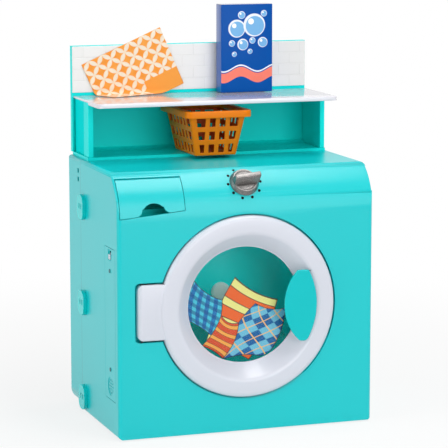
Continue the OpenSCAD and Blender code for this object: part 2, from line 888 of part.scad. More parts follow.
module control_knob() {
    color(silver) machine() on_panel(0, knob_angle) translate([0, 0, knob_floor + seat]) difference() {
        union() {
            cylinder(h = knob_h, r1 = knob_r, r2 = knob_top_r);
            intersection() {
                translate([0, 0, knob_h - 0.01]) rotate([90, 0, 90])
                    translate([0, 0, -knob_top_r]) linear_extrude(knob_top_r + pointer_len)
                        polygon([[-7, 0], [-2.5, grip_h], [4, grip_h], [7, 0]]);
                linear_extrude(knob_h + 2 * grip_h) {
                    circle(knob_top_r);
                    polygon([[0, -8], [pointer_len - 1.5, -7], [pointer_len, 0],
                             [pointer_len - 1.5, 7], [0, 8]]);
                }
            }
        }
        translate([0, 0, -cut]) cylinder(h = knob_h, r = shaft_r);
        translate([0, 0, -cut]) difference() {
            cylinder(h = 5, r = knob_top_r - 2);
            cylinder(h = 5, r = shaft_r + 2.5);
        }
    }
}

module knob_shaft() {
    top = knob_floor + seat + knob_h - cut;
    bottom = knob_floor - knob_pad_t - switch_box_h + 3;
    color(steel) machine() on_panel(0, knob_angle)
        translate([0, 0, bottom]) cylinder(h = top - bottom, r = shaft_r);
}

module rotary_switch() {
    color(dark) machine() on_panel(0, knob_angle) difference() {
        translate([-switch_box / 2, -switch_box / 2, knob_floor - knob_pad_t - switch_box_h])
            cube([switch_box, switch_box, switch_box_h]);
        translate([0, 0, knob_floor - knob_pad_t - switch_box_h + 2])
            cylinder(h = switch_box_h, r = shaft_r + fit);
    }
}

module dial_dots() {
    color("black") machine() for (k = [0:dial_count - 1]) {
        a = pointer_start_a + k * dial_step;
        x = dot_circle_r * cos(a);
        turn = dot_circle_r * sin(a) / panel_r * 180 / PI;
        on_panel(x, knob_angle + turn) translate([0, 0, panel_r]) cylinder(h = 0.4, r = dot_r);
    }
}

// Side view of the flap with its hinge barrel
module flap_section() {
    difference() {
        union() {
            panel_sector(panel_r - wall, panel_r, 0, flap_axis_a);
            translate(flap_axis) circle(flap_barrel_r);
        }
        translate(flap_axis) circle(flap_pin_r + fit);
    }
}

// Finger cut-out with flared ends, on the flap's sloping lower edge
module flap_notch() {
    flare_x = sqrt(pow(flap_notch_r + flap_flare_r, 2) - pow(flap_flare_r + flap_notch_sink, 2));
    translate([(flap_x0 + flap_x1) / 2 + 2, panel_z + flap_low + flap_rise / 2])
        rotate([0, 0, atan(flap_rise / flap_w)]) {
            translate([0, -flap_notch_sink]) circle(flap_notch_r);
            difference() {
                translate([-flare_x, -2 * flap_flare_r]) square([2 * flare_x, 3 * flap_flare_r]);
                for (s = [-1, 1]) translate([s * flare_x, flap_flare_r]) circle(flap_flare_r);
            }
        }
}

module detergent_flap() {
    color(teal) machine() difference() {
        intersection() {
            backward(-cut, panel_r) flap_outline(0);
            across(flap_x0, flap_x1) flap_section();
        }
        backward(-cut, panel_r) flap_notch();
    }
}

module flap_pin() {
    color(steel) machine() across(flap_x0 - flap_gap - 1.5, flap_x1 + flap_gap + 3.5)
        translate(flap_axis) circle(flap_pin_r);
}

module detergent_tray() {
    x0 = -inner_x + seat;
    x1 = flap_x1 + tray_t;
    color(teal) machine() intersection() {
        difference() {
            block([x0, wall, tray_z0 - tray_t], [x1, tray_d + tray_t, tray_z1 + tray_t]);
            block([x0 + tray_t, -cut, tray_z0], [x1 - tray_t, tray_d, tray_z1]);
        }
        front_solid(wall, front_d);
    }
    color(teal) machine()
        block([x0 + tray_t, tray_d - tray_step_d, tray_z0], [x1 - tray_t, tray_d, tray_z0 + tray_step_h]);
}

// ---------- side compartment, on the machine's left ----------

module side_cover() {
    color(teal_side) machine() difference() {
        across(-half_w, -half_w + cover_t) cover_outline(0);
        across(-half_w - cut, -half_w + 0.8) translate([cell_y, speaker_z]) circle(speaker_r);
        across(-half_w - cut, -half_w + 2 * cover_t) translate([cell_y, speaker_z]) {
            circle(1.3);
            for (a = [0:60:300]) translate([5 * cos(a), 5 * sin(a)]) circle(1.3);
            for (a = [0:30:330]) translate([10 * cos(a), 10 * sin(a)]) circle(1.3);
        }
        across(-half_w - cut, -half_w + 0.9)
            round_rect(cell_y - switch_well_w / 2, knob_slot_z, cell_y + switch_well_w / 2,
                       knob_slot_z + slider_h + switch_travel + 4, 2);
        across(-half_w - cut, -half_w + 2 * cover_t)
            translate([cell_y - slider_w / 2 - 0.3, knob_slot_z + 1.7])
            square([slider_w + 0.6, slider_h + switch_travel + 0.6]);
        for (z = cover_screw_zs)
            across(-half_w - cut, -half_w + 2 * cover_t) translate([cell_y, z]) circle(screw_r + fit);
    }
}

module cover_screws() {
    color(steel) machine() for (z = cover_screw_zs) {
        across(-half_w - 0.9, -half_w) translate([cell_y, z]) circle(screw_head_r);
        across(-half_w, -half_w + wall + cover_screw_l) translate([cell_y, z]) circle(screw_r);
    }
}

module electronics_tray() {
    x0 = -inner_x;
    color(dark) machine() difference() {
        union() {
            difference() {
                across(x0, x0 + e_d + e_t) cover_outline(e_t);
                across(x0 - cut, x0 + e_d) cover_outline(0);
            }
            for (z = [cell_z0 - cell_gap - e_t, cell_z0 + cell_l + cell_gap + 1.2])
                block([x0, cover_y0 - 1, z], [x0 + e_d + 1, cover_y0 + cover_w - 3, z + e_t]);
            for (z = cover_screw_zs)
                across(x0, x0 + e_d + 1) translate([cell_y, z]) circle(4);
            for (y = [cover_y0 + 8, cover_y0 + cover_w - 9], z = [board_z0 + 5, board_z0 + board_h - 5])
                across(x0 + e_d - 3, x0 + e_d + 1) translate([y, z]) circle(3);
        }
        for (z = cover_screw_zs)
            across(x0 - cut, x0 + 10) translate([cell_y, z]) circle(screw_r + fit);
        hinge_pocket_room();
    }
}

module power_switch() {
    color("white") machine() {
        z0 = knob_slot_z + 2;
        across(-half_w - 1, -half_w + cover_t + 1.6)
            translate([cell_y - slider_w / 2, z0]) square([slider_w, slider_h]);
        across(-half_w + cover_t + seat, -half_w + cover_t + 1.6)
            translate([cell_y - slider_w / 2 - 2, z0 - 1.5]) square([slider_w + 4, slider_h + 3]);
    }
}

module switch_body() {
    color(dark) machine()
        across(-half_w + cover_t + 1.9, -inner_x + e_d - 3 - board_t)
            translate([cell_y - 5, knob_slot_z]) square([10, slider_h + switch_travel + 4]);
}

module batteries() {
    color([0.25, 0.3, 0.6]) machine() for (k = [-1:cells - 2])
        translate([-inner_x + e_d - cell_r - 0.1, cell_y + k * cell_pitch, cell_z0]) {
            cylinder(h = cell_l - 1.2, r = cell_r);
            cylinder(h = cell_l, r = 2.7);
        }
}

module battery_contacts() {
    color(steel) machine() for (k = [-1:cells - 2])
        for (z = [cell_z0 - cell_gap, cell_z0 + cell_l])
            block([-inner_x + e_d - 2 * cell_r, cell_y + k * cell_pitch - 4, z],
                  [-inner_x + e_d - 2, cell_y + k * cell_pitch + 4,
                   z + (z < cell_z0 ? cell_gap : cell_gap + 1.2)]);
}

module circuit_board() {
    x0 = -inner_x + e_d - 3 - board_t;
    color([0.1, 0.4, 0.2]) machine() {
        difference() {
            block([x0, cover_y0 + 4, board_z0],
                  [x0 + board_t, cover_y0 + cover_w - 4, board_z0 + board_h]);
            across(x0 - cut, x0 + 2 * board_t) translate([cell_y, cover_screw_zs[1]]) circle(5);
        }
        block([x0 - 2, cell_y - chip_l / 2, board_z0 + chip_up],
              [x0, cell_y + chip_l / 2, board_z0 + chip_up + chip_l]);
        block([x0 - 5, cover_y0 + cover_w - 10, board_z0 + 1],
              [x0, cover_y0 + cover_w - 4, board_z0 + 11]);
        across(x0 - 7, x0) translate([cell_y - 12, board_z0 + 20]) circle(4);
    }
}

module speaker() {
    x0 = -half_w + cover_t;
    r = speaker_r + 3;
    color(dark) machine() difference() {
        union() {
            across(x0, x0 + 2) translate([cell_y, speaker_z]) circle(r);
            translate([x0 + 2, cell_y, speaker_z]) rotate([0, 90, 0])
                cylinder(h = 5, r1 = r - 2, r2 = speaker_r - 3);
            across(x0 + 7, x0 + 11) translate([cell_y, speaker_z]) circle(speaker_r - 4);
        }
        across(x0 - cut, x0 + 1.2) translate([cell_y, speaker_z]) circle(speaker_r + 1);
    }
}

module speaker_wires() {
    y = cover_y0 + cover_w - 1.6;
    r = 0.6;
    z0 = speaker_z + 1;
    z1 = board_z0 + 6;
    color([0.75, 0.1, 0.1]) machine() for (k = [0, 1]) {
        x = -half_w + cover_t + 8 + 2.2 * k;
        translate([x, y, z0]) cylinder(h = z1 - z0, r = r);
        translate([x, y, z0]) sphere(r);
        translate([x, y, z1]) sphere(r);
        rod_y(x, z0, cell_y + speaker_r - 4, y, r);
        rod_y(x, z1, cover_y0 + cover_w - 4, y, r);
    }
}

// ---------- shelf unit ----------

module hutch_base() {
    color(teal) machine() {
        block([-hutch_x - 1, hutch_y0, top_z], [hutch_x + 1, hutch_y1, hutch_z0]);
        across(-hutch_x + side_in + side_t + 0.1, hutch_x - side_in - side_t - 0.1)
            translate([hutch_y1 - back_t, hutch_z0])
                polygon([[-cove[0], -cut], [0, -cut], [0, cove[1]]]);
        for (s = [-1, 1], y = [hutch_y0 + 9, hutch_y1 - 18])
            translate([s * peg_x, y, top_z - peg_l]) cylinder(h = peg_l + cut, r = peg_r);
    }
}

// One side of the shelf unit: a post in front and a thinner, set-back panel
module hutch_side() {
    block([hutch_x - post_w, hutch_y0, hutch_z0], [hutch_x, hutch_y0 + post_d, hutch_z1]);
    block([hutch_x - side_t - side_in, hutch_y0 + post_d - cut, hutch_z0],
          [hutch_x - side_in, hutch_y1 - back_t, hutch_z1]);
}

module hutch_left_side() {
    color(teal) machine() mirror([1, 0, 0]) hutch_side();
}

module hutch_right_side() {
    color(teal) machine() hutch_side();
}

module hutch_back() {
    color(teal) machine() difference() {
        union() {
            block([splash_x0, hutch_y1 - back_t, hutch_z0], [hutch_x, hutch_y1, hutch_z1]);
            for (x = [splash_x0, hutch_x - flange_t])
                block([x, splash_y0, hutch_z0], [x + flange_t, casing_d, hutch_z1]);
        }
        for (x = tab_xs) rod_y(x, hutch_z1 - tab_down / 2, splash_y1 - cut, hutch_y1 + cut, screw_r + fit);
    }
}

module shelf_top() {
    r = 8;
    color([0.93, 0.92, 0.95]) machine() difference() {
        translate([0, 0, shelf_z - shelf_t]) linear_extrude(shelf_t)
            round_rect(-hutch_x - 0.5, shelf_y0, hutch_x + 0.5, hutch_y1 + 0.5, r);
        block([-hutch_w, hutch_y0 - rest_gap, hutch_z0], [hutch_w, 2 * casing_d, hutch_z1]);
        for (x = tab_xs)
            block([x - tab_w / 2 - 0.2, splash_y0 - 0.2, hutch_z1 - cut],
                  [x + tab_w / 2 + 0.2, splash_y1 + 0.2, shelf_z + cut]);
    }
}

module backsplash_panel() {
    color(teal) machine() difference() {
        union() {
            block([splash_x0, splash_y0, shelf_z], [splash_x1, splash_y1, shelf_z + splash_h]);
            block([splash_x0, splash_y0, hutch_z1], [splash_x0 + flange_t, casing_d, shelf_z + splash_h]);
            block([splash_x1 - flange_t, splash_y0, shelf_z], [splash_x1, casing_d, shelf_z + splash_h]);
            block([splash_x0, splash_y0, shelf_z + splash_h - flange_t],
                  [splash_x1, casing_d, shelf_z + splash_h]);
            for (x = tab_xs)
                block([x - tab_w / 2, splash_y0, hutch_z1 - tab_down],
                      [x + tab_w / 2, splash_y1, shelf_z + cut]);
        }
        for (x = tab_xs)
            rod_y(x, hutch_z1 - tab_down / 2, splash_y0 - cut, splash_y1 + cut, screw_r + fit);
    }
}

// Brick-bond tiles in one moulded panel, with shallow joints between them
module backsplash_tiles() {
    x0 = splash_x0 + 0.3;
    x1 = splash_x1 - 0.5;
    z0 = shelf_z + splash_strip;
    z1 = shelf_z + splash_h - 0.7;
    rows = 4;
    row_h = (z1 - z0) / rows;
    tile_w = 2 * row_h;
    joint = 1.2;
    color([0.93, 0.93, 0.93]) machine() difference() {
        block([x0, tile_y, z0], [x1, splash_y0, z1]);
        for (i = [1:rows - 1])
            block([x0 - cut, tile_y - cut, z0 + i * row_h - joint / 2],
                  [x1 + cut, tile_y + 0.5, z0 + i * row_h + joint / 2]);
        for (i = [0:rows - 1], x = [x0 + tile_w * (1 + (i % 2) / 2):tile_w:x1 - 2])
            block([x - joint / 2, tile_y - cut, z0 + i * row_h],
                  [x + joint / 2, tile_y + 0.5, z0 + (i + 1) * row_h]);
    }
}

module hutch_screws() {
    color(steel) machine() for (x = tab_xs) {
        rod_y(x, hutch_z1 - tab_down / 2, splash_y0, hutch_y1, screw_r);
        rod_y(x, hutch_z1 - tab_down / 2, hutch_y1, hutch_y1 + 1.8, screw_head_r);
    }
}

// ---------- accessories ----------

// Leaning basket body, moved inwards by i and starting at height z0
module basket_body(i, z0) {
    h = basket_h - basket_rim_h;
    r = 8;
    hull() {
        translate([0, 0, z0]) linear_extrude(0.01) basket_plan(i - basket_lean * z0 / h, r, 24);
        translate([0, 0, h]) linear_extrude(0.01) basket_plan(i - basket_lean, r, 24);
    }
}

// Basket outline in plan, moved inwards by i
module basket_plan(i, r, n) {
    w = basket_w / 2 - i;
    l = basket_l - 2 * i;
    translate([-w, i]) translate([r, r]) hull()
        for (x = [0, 2 * w - 2 * r], y = [0, l - 2 * r]) translate([x, y]) circle(r, $fn = n);
}

// One hole of a side grid: column c of n and row k of m, leaning with the side
module grid_hole(half, c, n, k, m) {
    h = basket_h - basket_rim_h;
    bar = 4.2;
    z0 = 3 + k * (h - 3) / m;
    z1 = 3 + (k + 1) * (h - 3) / m - bar;
    function edge(u, z) = u * (half - 9 + basket_lean * z / h);
    u0 = -1 + 2 * c / n;
    u1 = -1 + 2 * (c + 1) / n;
    polygon([[edge(u0, z0) + bar / 2, z0], [edge(u1, z0) - bar / 2, z0],
             [edge(u1, z1) - bar / 2, z1], [edge(u0, z1) + bar / 2, z1]]);
}

module laundry_basket() {
    h = basket_h - basket_rim_h;
    grow = basket_lean + basket_rim;
    color(orange) machine() translate([basket_x, basket_y0, basket_z]) difference() {
        union() {
            difference() {
                basket_body(0, 0);
                translate([0, 0, basket_t]) basket_body(basket_t, 0);
            }
            translate([0, 0, h - 0.01]) linear_extrude(basket_rim_h) difference() {
                round_rect(-basket_w / 2 - grow, -grow, basket_w / 2 + grow, basket_l + grow, 11);
                round_rect(-basket_w / 2 - basket_lean + basket_t, -basket_lean + basket_t,
                           basket_w / 2 + basket_lean - basket_t, basket_l + basket_lean - basket_t, 6);
            }
        }
        for (c = [0:3], k = [0:2])
            backward(-2 * grow, basket_l + 2 * grow) grid_hole(basket_w / 2, c, 4, k, 3);
        for (c = [0:5], k = [0:2])
            across(-basket_w - grow, basket_w + grow) translate([basket_l / 2, 0])
                grid_hole(basket_l / 2, c, 6, k, 3);
        for (x = [-1:1], y = [0:5])
            translate([x * 18 - 6, 7 + y * (basket_l - 12) / 6, -cut])
                cube([12, (basket_l - 12) / 6 - 4, 4 * basket_t]);
    }
}

module detergent_box() {
    color([0.04, 0.31, 0.65]) machine() difference() {
        translate([box_x, 0, shelf_z + rest_gap]) linear_extrude(box_h)
            round_rect(-box_w / 2, box_y1 - box_d, box_w / 2, box_y1, 2);
        block([box_x - box_w / 2 + box_t, box_y1 - box_d + box_t, shelf_z - cut],
              [box_x + box_w / 2 - box_t, box_y1 - box_t, shelf_z + rest_gap + box_h - box_t]);
    }
}

module detergent_box_base() {
    g = 0.05;
    color([0.04, 0.31, 0.65]) machine()
        block([box_x - box_w / 2 + box_t + g, box_y1 - box_d + box_t + g, shelf_z + rest_gap],
              [box_x + box_w / 2 - box_t - g, box_y1 - box_t - g, shelf_z + rest_gap + 2 * box_t]);
}

// A stiff sheet that leans on the tiles, tilted, with its lowest corner
// folded forward on the shelf
module dryer_sheet() {
    y1 = tile_y - rest_gap;
    top = sheet_fold_z + sheet_top;
    a = [sheet_left, top];
    b = a + sheet_l * [cos(sheet_tilt), sin(sheet_tilt)];
    c = b + sheet_w * [sin(sheet_tilt), -cos(sheet_tilt)];
    d = a + sheet_w * [sin(sheet_tilt), -cos(sheet_tilt)];
    // where the two lower edges cross the fold
    fa = a + (a[1] - sheet_fold_z) / cos(sheet_tilt) * [sin(sheet_tilt), -cos(sheet_tilt)];
    fc = c - (c[1] - sheet_fold_z) / sin(sheet_tilt) * [cos(sheet_tilt), sin(sheet_tilt)];
    drop = sheet_fold_z - d[1];
    color([1, 0.69, 0.32]) machine() {
        backward(y1 - sheet_t, y1) polygon([a, b, c, fc, fa]);
        translate([0, 0, sheet_fold_z]) linear_extrude(sheet_t)
            polygon([[fa[0], y1], [fc[0], y1], [d[0], y1 - drop]]);
    }
}

front_casing();
back_casing();
casing_clips();
casing_screws();
feet();
drum();
drum_hub_cap();
drum_axle();
axle_clip();
drum_bearing();
drum_bulkhead();
bulkhead_screws();
door_ring();
door_liner();
door_window();
laundry_print();
door_handle();
liner_screws();
door_latch();
latch_catch();
hinge_pin();
control_knob();
knob_shaft();
rotary_switch();
dial_dots();
detergent_flap();
flap_pin();
detergent_tray();
side_cover();
cover_screws();
electronics_tray();
power_switch();
switch_body();
batteries();
battery_contacts();
circuit_board();
speaker();
speaker_wires();
hutch_base();
hutch_left_side();
hutch_right_side();
hutch_back();
shelf_top();
backsplash_panel();
backsplash_tiles();
hutch_screws();
laundry_basket();
detergent_box();
detergent_box_base();
dryer_sheet();
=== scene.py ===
# %% [markdown]
# # Dressing a toy washing machine
# The solids of the toy were built elsewhere and come in as a fixed frame. This lesson puts
# the finish on them: soft edges where the real mouldings have them, a cloth, a basket, a
# carton, and a material for every surface. Shapes are in millimetres from the machine's front
# face, because that is how one would measure the toy with a ruler. Only the camera, the lamps
# and the widths in modifiers are in metres, which is what they take.

# %% Load the frame
import math

import bmesh
import bpy
import numpy as np
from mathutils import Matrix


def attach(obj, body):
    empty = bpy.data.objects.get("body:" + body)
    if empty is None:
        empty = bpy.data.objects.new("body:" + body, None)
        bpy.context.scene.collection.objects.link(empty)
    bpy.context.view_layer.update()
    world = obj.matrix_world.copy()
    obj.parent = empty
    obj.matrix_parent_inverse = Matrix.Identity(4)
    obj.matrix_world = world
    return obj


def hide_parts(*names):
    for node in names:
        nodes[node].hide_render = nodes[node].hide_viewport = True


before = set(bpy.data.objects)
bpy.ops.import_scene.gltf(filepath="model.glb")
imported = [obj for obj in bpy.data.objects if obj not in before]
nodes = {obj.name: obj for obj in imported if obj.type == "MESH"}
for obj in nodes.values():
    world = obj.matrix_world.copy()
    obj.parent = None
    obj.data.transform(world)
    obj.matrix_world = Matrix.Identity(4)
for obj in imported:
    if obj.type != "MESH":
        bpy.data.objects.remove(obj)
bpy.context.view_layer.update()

# %% [markdown]
# ## Camera
# A long lens from three metres away keeps the casing's edges nearly parallel, as in a
# catalogue picture. The camera comes first, so that every later cell can be looked at.

# %% The camera
scene = bpy.context.scene
lens = bpy.data.cameras.new("camera")
lens.lens, lens.sensor_width = 180.07, 36
eye = bpy.data.objects.new("camera", lens)
eye.location = (-1.1011, -3.20465, 0.8311)
eye.rotation_euler = (math.radians(81.0), 0, math.radians(-19.09))
scene.collection.objects.link(eye)
scene.camera = eye
print("camera", tuple(eye.location))

# %% [markdown]
# ## Outlines and surfaces
# Moulded plastic has no sharp corner anywhere, because the steel mould is cut with round
# tools. So the basic helper is a closed outline whose corners are arcs, and the basic surface
# is a loft: rings of points, one after another, joined by four-sided faces.

# %% Outline helpers
FRONT = -130.75     # y of the machine's front face in the frame
DOOR_Z = 190.0      # height of the door's axis


def in_frame(points):
    """Millimetres from the front face, as metres in the frame: y moves by the face's place."""
    return (np.asarray(points, float) + (0, FRONT, 0)) / 1000


def fillet(corners, radii, steps):
    """A closed outline with arcs for corners. Each arc touches both sides at the distance
    radius / tan(half the corner's angle), and its centre lies on the corner's bisector."""
    P = np.asarray(corners, float)
    R = np.broadcast_to(np.asarray(radii, float), len(P))[:, None]
    back, ahead = np.roll(P, 1, 0) - P, np.roll(P, -1, 0) - P
    back /= np.linalg.norm(back, axis=1, keepdims=True)
    ahead /= np.linalg.norm(ahead, axis=1, keepdims=True)
    half = 0.5 * np.arccos(np.clip((back * ahead).sum(1, keepdims=True), -1, 1))
    middle = back + ahead
    middle /= np.maximum(np.linalg.norm(middle, axis=1, keepdims=True), 1e-9)
    centre = P + middle * R / np.sin(half)
    start = P + back * R / np.tan(half) - centre
    end = P + ahead * R / np.tan(half) - centre
    turn = np.arctan2(start[:, 0] * end[:, 1] - start[:, 1] * end[:, 0], (start * end).sum(1))
    a = turn[:, None] * np.linspace(0, 1, steps + 1)
    x = start[:, :1] * np.cos(a) - start[:, 1:] * np.sin(a)
    y = start[:, :1] * np.sin(a) + start[:, 1:] * np.cos(a)
    keep = np.ones(a.shape, bool)
    keep[R[:, 0] == 0, 1:] = False      # a sharp corner is a single point
    arcs = np.stack([centre[:, :1] + x, centre[:, 1:] + y], -1)
    return arcs[keep]


def round_rect(hx, hy, r, steps, centre=(0, 0)):
    """Half sizes hx and hy, corners of radius r, anticlockwise."""
    c = np.array([(-hx, -hy), (hx, -hy), (hx, hy), (-hx, hy)], float)
    return fillet(c, r, steps) + centre


def inward(outline):
    """For each point of a closed anticlockwise outline, the step that moves both of its
    sides inwards by one: the sum of the sides' normals over one plus their dot product."""
    side = np.roll(outline, -1, 0) - outline
    side /= np.maximum(np.linalg.norm(side, axis=1, keepdims=True), 1e-9)
    after = np.stack([-side[:, 1], side[:, 0]], -1)
    before = np.roll(after, 1, 0)
    return (after + before) / (1 + (after * before).sum(1, keepdims=True))


def anticlockwise(outline):
    """The outline, turned round if its area, the sum of x y' - y x', comes out negative."""
    x, y = outline.T
    return outline if (x * np.roll(y, -1) - y * np.roll(x, -1)).sum() > 0 else outline[::-1]


print("corner test:", round_rect(10, 5, 2, 2).shape)

# %% Surface helpers


def grid_quads(at):
    """Four-sided faces between the neighbours in a grid of point numbers."""
    return np.stack([at[:-1, :-1], at[:-1, 1:], at[1:, 1:], at[1:, :-1]], -1).reshape(-1, 4)


def loft(rings, caps=True, loop=False):
    """Points and faces of rings (count, points round, 3): each ring is joined to the next,
    and flat faces close the first and the last, or the last joins the first."""
    m, n = rings.shape[:2]
    at = np.arange(m * n).reshape(m, n)
    at = np.concatenate([at, at[:, :1]], 1)
    if loop:
        at = np.concatenate([at, at[:1]], 0)
    faces = grid_quads(at).tolist()
    if caps and not loop:
        faces += [at[0, :n][::-1].tolist(), at[-1, :n].tolist()]
    return rings.reshape(-1, 3), faces


def raised(flat, height):
    """Flat points with their height as a third number."""
    return np.concatenate([flat, np.broadcast_to(height, flat.shape[:-1] + (1,))], -1)


def slab(outline, lo, hi, edge, steps=4, support=0.5):
    """A plate with round edges. Its ring moves inwards by edge * (1 - sin a) and across the
    thickness by edge * (1 - cos a), for a quarter turn of a at each face."""
    outline = anticlockwise(np.asarray(outline, float))
    a = np.linspace(0, np.pi / 2, steps + 1)
    inset = edge * (1 - np.sin(a))
    depth = edge * (1 - np.cos(a))
    inset = np.r_[edge + support, inset, inset[::-1], edge + support]
    height = np.r_[lo, lo + depth, hi - depth[::-1], hi]
    return raised(outline + inward(outline) * inset[:, None, None], height[:, None, None])


def turned(profile, count):
    """A (radius, depth) outline carried round the door's axis: x = r cos a, z = r sin a."""
    a = np.linspace(0, 2 * np.pi, count, endpoint=False)[None]
    r, y = profile[:, :1], profile[:, 1:]
    return np.stack([r * np.cos(a), y + 0 * a, DOOR_Z + r * np.sin(a)], -1)


def joined(*parts):
    """Several (points, faces) as one."""
    points, faces, base = [], [], 0
    for p, f in parts:
        points.append(p)
        faces += [[i + base for i in face] for face in f]
        base += len(p)
    return np.vstack(points), faces


UPRIGHT = [0, 2, 1]     # a slab's own x, y and thickness, stood up to face the front
ACROSS = [2, 0, 1]      # the same, with the thickness from left to right
square_ring = turned(np.array([(5.0, 0), (6, 0), (6, 1), (5, 1)]), 8)
print("loft test:", len(loft(square_ring, loop=True)[1]), "faces")

# %% [markdown]
# ## Putting a piece into the scene
# One function makes the mesh, gives it its material, hangs it on the body that carries it and
# hides the solids it stands for. The normals of a closed shell are worked out again, because a
# loft can come out with its faces turned inwards.

# %% The piece maker


def placed(name, mesh, paint, body, stands_for):
    """An object of the mesh, shaded smooth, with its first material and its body."""
    mesh.name = name
    mesh.polygons.foreach_set("use_smooth", np.full(len(mesh.polygons), True))
    mesh.materials.append(paint)
    made = bpy.data.objects.new(name, mesh)
    scene.collection.objects.link(made)
    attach(made, body)
    if stands_for:
        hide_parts(*stands_for)
    return made


def piece(name, shape, body, paint, stands_for=(), uv=None):
    """A new mesh of (points, faces), with its flat map where a pattern needs one."""
    points, faces = shape
    mesh = bpy.data.meshes.new(name)
    mesh.from_pydata(in_frame(points).tolist(), [], faces)
    work = bmesh.new()
    work.from_mesh(mesh)
    bmesh.ops.recalc_face_normals(work, faces=work.faces)
    work.to_mesh(mesh)
    work.free()
    if uv is not None:
        layer = mesh.uv_layers.new(name="flat")
        corner = np.zeros(len(mesh.loops), np.int32)
        mesh.loops.foreach_get("vertex_index", corner)
        layer.data.foreach_set("uv", np.asarray(uv, np.float32)[corner].ravel())
    made = placed(name, mesh, paint, body, stands_for)
    print(f"{name}: {len(mesh.vertices)} points, {len(mesh.polygons)} faces")
    return made


def soft_edges(made, width, segments, least):
    """Rounds every edge whose two faces meet at an angle of more than least degrees."""
    soft = made.modifiers.new("soft edges", "BEVEL")
    soft.width, soft.segments = width, segments
    soft.limit_method, soft.angle_limit = "ANGLE", math.radians(least)


def thicken(made, thickness, offset):
    """Gives a surface its thickness: offset 0 is to both sides, and -1 all inwards."""
    wall = made.modifiers.new("thickness", "SOLIDIFY")
    wall.thickness, wall.offset = thickness, offset


# %% [markdown]
# ## Materials
# Injection-moulded toys have a gloss that is never quite even: the surface carries a faint
# orange peel from the mould, a cloudier sheen where the plastic flowed, and fine rubs from
# handling. One node group holds the three effects, and each plastic uses it with its own
# strengths.

# %% Node helpers


def fill(tree, node, values):
    """Sets a node's inputs by number or name. A value that is itself a socket is linked."""
    for key, value in values.items():
        if isinstance(value, bpy.types.NodeSocket):
            tree.links.new(value, node.inputs[key])
        else:
            node.inputs[key].default_value = value


def add(tree, kind, *values, out=0, setup=None, **named):
    """One node. Values fill its inputs in order, and named ones by name. It returns the
    chosen output socket, or the whole node where out is None."""
    made = tree.nodes.new(kind)
    for key, value in (setup or {}).items():
        setattr(made, key, value)
    fill(tree, made, {**dict(enumerate(values)), **named})
    return made.outputs[out] if out is not None else made


def calc(tree, what, *values, clamp=False):
    """One step of arithmetic, named as the Math node names it."""
    return add(tree, "ShaderNodeMath", *values, setup={"operation": what, "use_clamp": clamp})


def blendc(tree, amount, a, b):
    """Colour a towards colour b. The Mix node's colours are its inputs 6 and 7."""
    made = tree.nodes.new("ShaderNodeMix")
    made.data_type = "RGBA"
    fill(tree, made, {0: amount, 6: a, 7: b})
    return made.outputs[2]


def ease(tree, value, lo, hi, to_lo=0.0, to_hi=1.0):
    """0 below lo, 1 above hi, and a smooth step between."""
    return add(tree, "ShaderNodeMapRange", value, lo, hi, to_lo, to_hi,
               setup={"interpolation_type": "SMOOTHSTEP"})


def fall(tree, value, lo, hi):
    """1 below lo, 0 above hi."""
    return ease(tree, value, lo, hi, 1.0, 0.0)


def between(tree, value, rise_from, rise_to, fall_from, fall_to):
    """1 between a step up and a step down, 0 outside them."""
    return calc(tree, "MULTIPLY", ease(tree, value, rise_from, rise_to),
                fall(tree, value, fall_from, fall_to))


def srgb(r, g, b):
    """A screen colour from 0 to 255 as the linear colour that a shader wants."""
    c = np.array([r, g, b]) / 255
    c = np.where(c <= 0.04045, c / 12.92, ((c + 0.055) / 1.055) ** 2.4)
    return (*c.tolist(), 1.0)


def object_place(tree):
    """The place of a point in the frame, in metres: output 3 of Texture Coordinate."""
    return add(tree, "ShaderNodeTexCoord", out=3)


def split(tree, place):
    """The three numbers of a place."""
    return add(tree, "ShaderNodeSeparateXYZ", place, out=None).outputs


def millimetres(tree):
    """Object coordinates as x, y from the front face and z, in millimetres."""
    x, y, z = (calc(tree, "MULTIPLY", k, 1000) for k in split(tree, object_place(tree)))
    return x, calc(tree, "SUBTRACT", y, FRONT), z


def flat_map(tree):
    """A piece's own flat map, in millimetres: the place, and its two numbers."""
    place = add(tree, "ShaderNodeUVMap", setup={"uv_map": "flat"})
    return place, *split(tree, place)[:2]


def group(name, inputs, outputs):
    """An empty node group with float inputs given as numbers and colours as tuples."""
    tree = bpy.data.node_groups.new(name, "ShaderNodeTree")
    for key, value in inputs.items():
        kind = "NodeSocketColor" if isinstance(value, tuple) else "NodeSocketFloat"
        socket = tree.interface.new_socket(name=key, in_out="INPUT", socket_type=kind)
        socket.default_value = value
    for key, kind in outputs.items():
        tree.interface.new_socket(name=key, in_out="OUTPUT", socket_type="NodeSocket" + kind)
    enter, leave = tree.nodes.new("NodeGroupInput"), tree.nodes.new("NodeGroupOutput")
    return tree, enter.outputs, leave.inputs


# %% The moulded surface, as a group
moulded, put, get = group(
    "moulded surface",
    {"colour": (0.8, 0.8, 0.8, 1.0), "gloss": 0.25, "peel": 0.15, "cloud": 0.06, "rubs": 0.2},
    {"colour": "Color", "roughness": "Float", "normal": "Vector"},
)
where = object_place(moulded)
peel = add(moulded, "ShaderNodeTexNoise", Vector=where, Scale=900.0, Detail=2.0)
cloud = add(moulded, "ShaderNodeTexNoise", Vector=where, Scale=9.0, Detail=3.0, Roughness=0.6)
streak = add(moulded, "ShaderNodeMapping", Vector=where, Scale=(90.0, 90.0, 14.0))
rub = add(moulded, "ShaderNodeTexNoise", Vector=streak, Scale=6.0, Detail=6.0, Roughness=0.8)
rub_mask = calc(moulded, "MULTIPLY", ease(moulded, rub, 0.62, 0.75), put["rubs"])
cloud_sway = calc(moulded, "SUBTRACT", cloud, 0.5)
shade = calc(moulded, "MULTIPLY_ADD", cloud_sway, put["cloud"], 1.0)
tinted = add(moulded, "ShaderNodeHueSaturation", Color=put["colour"], Value=shade)
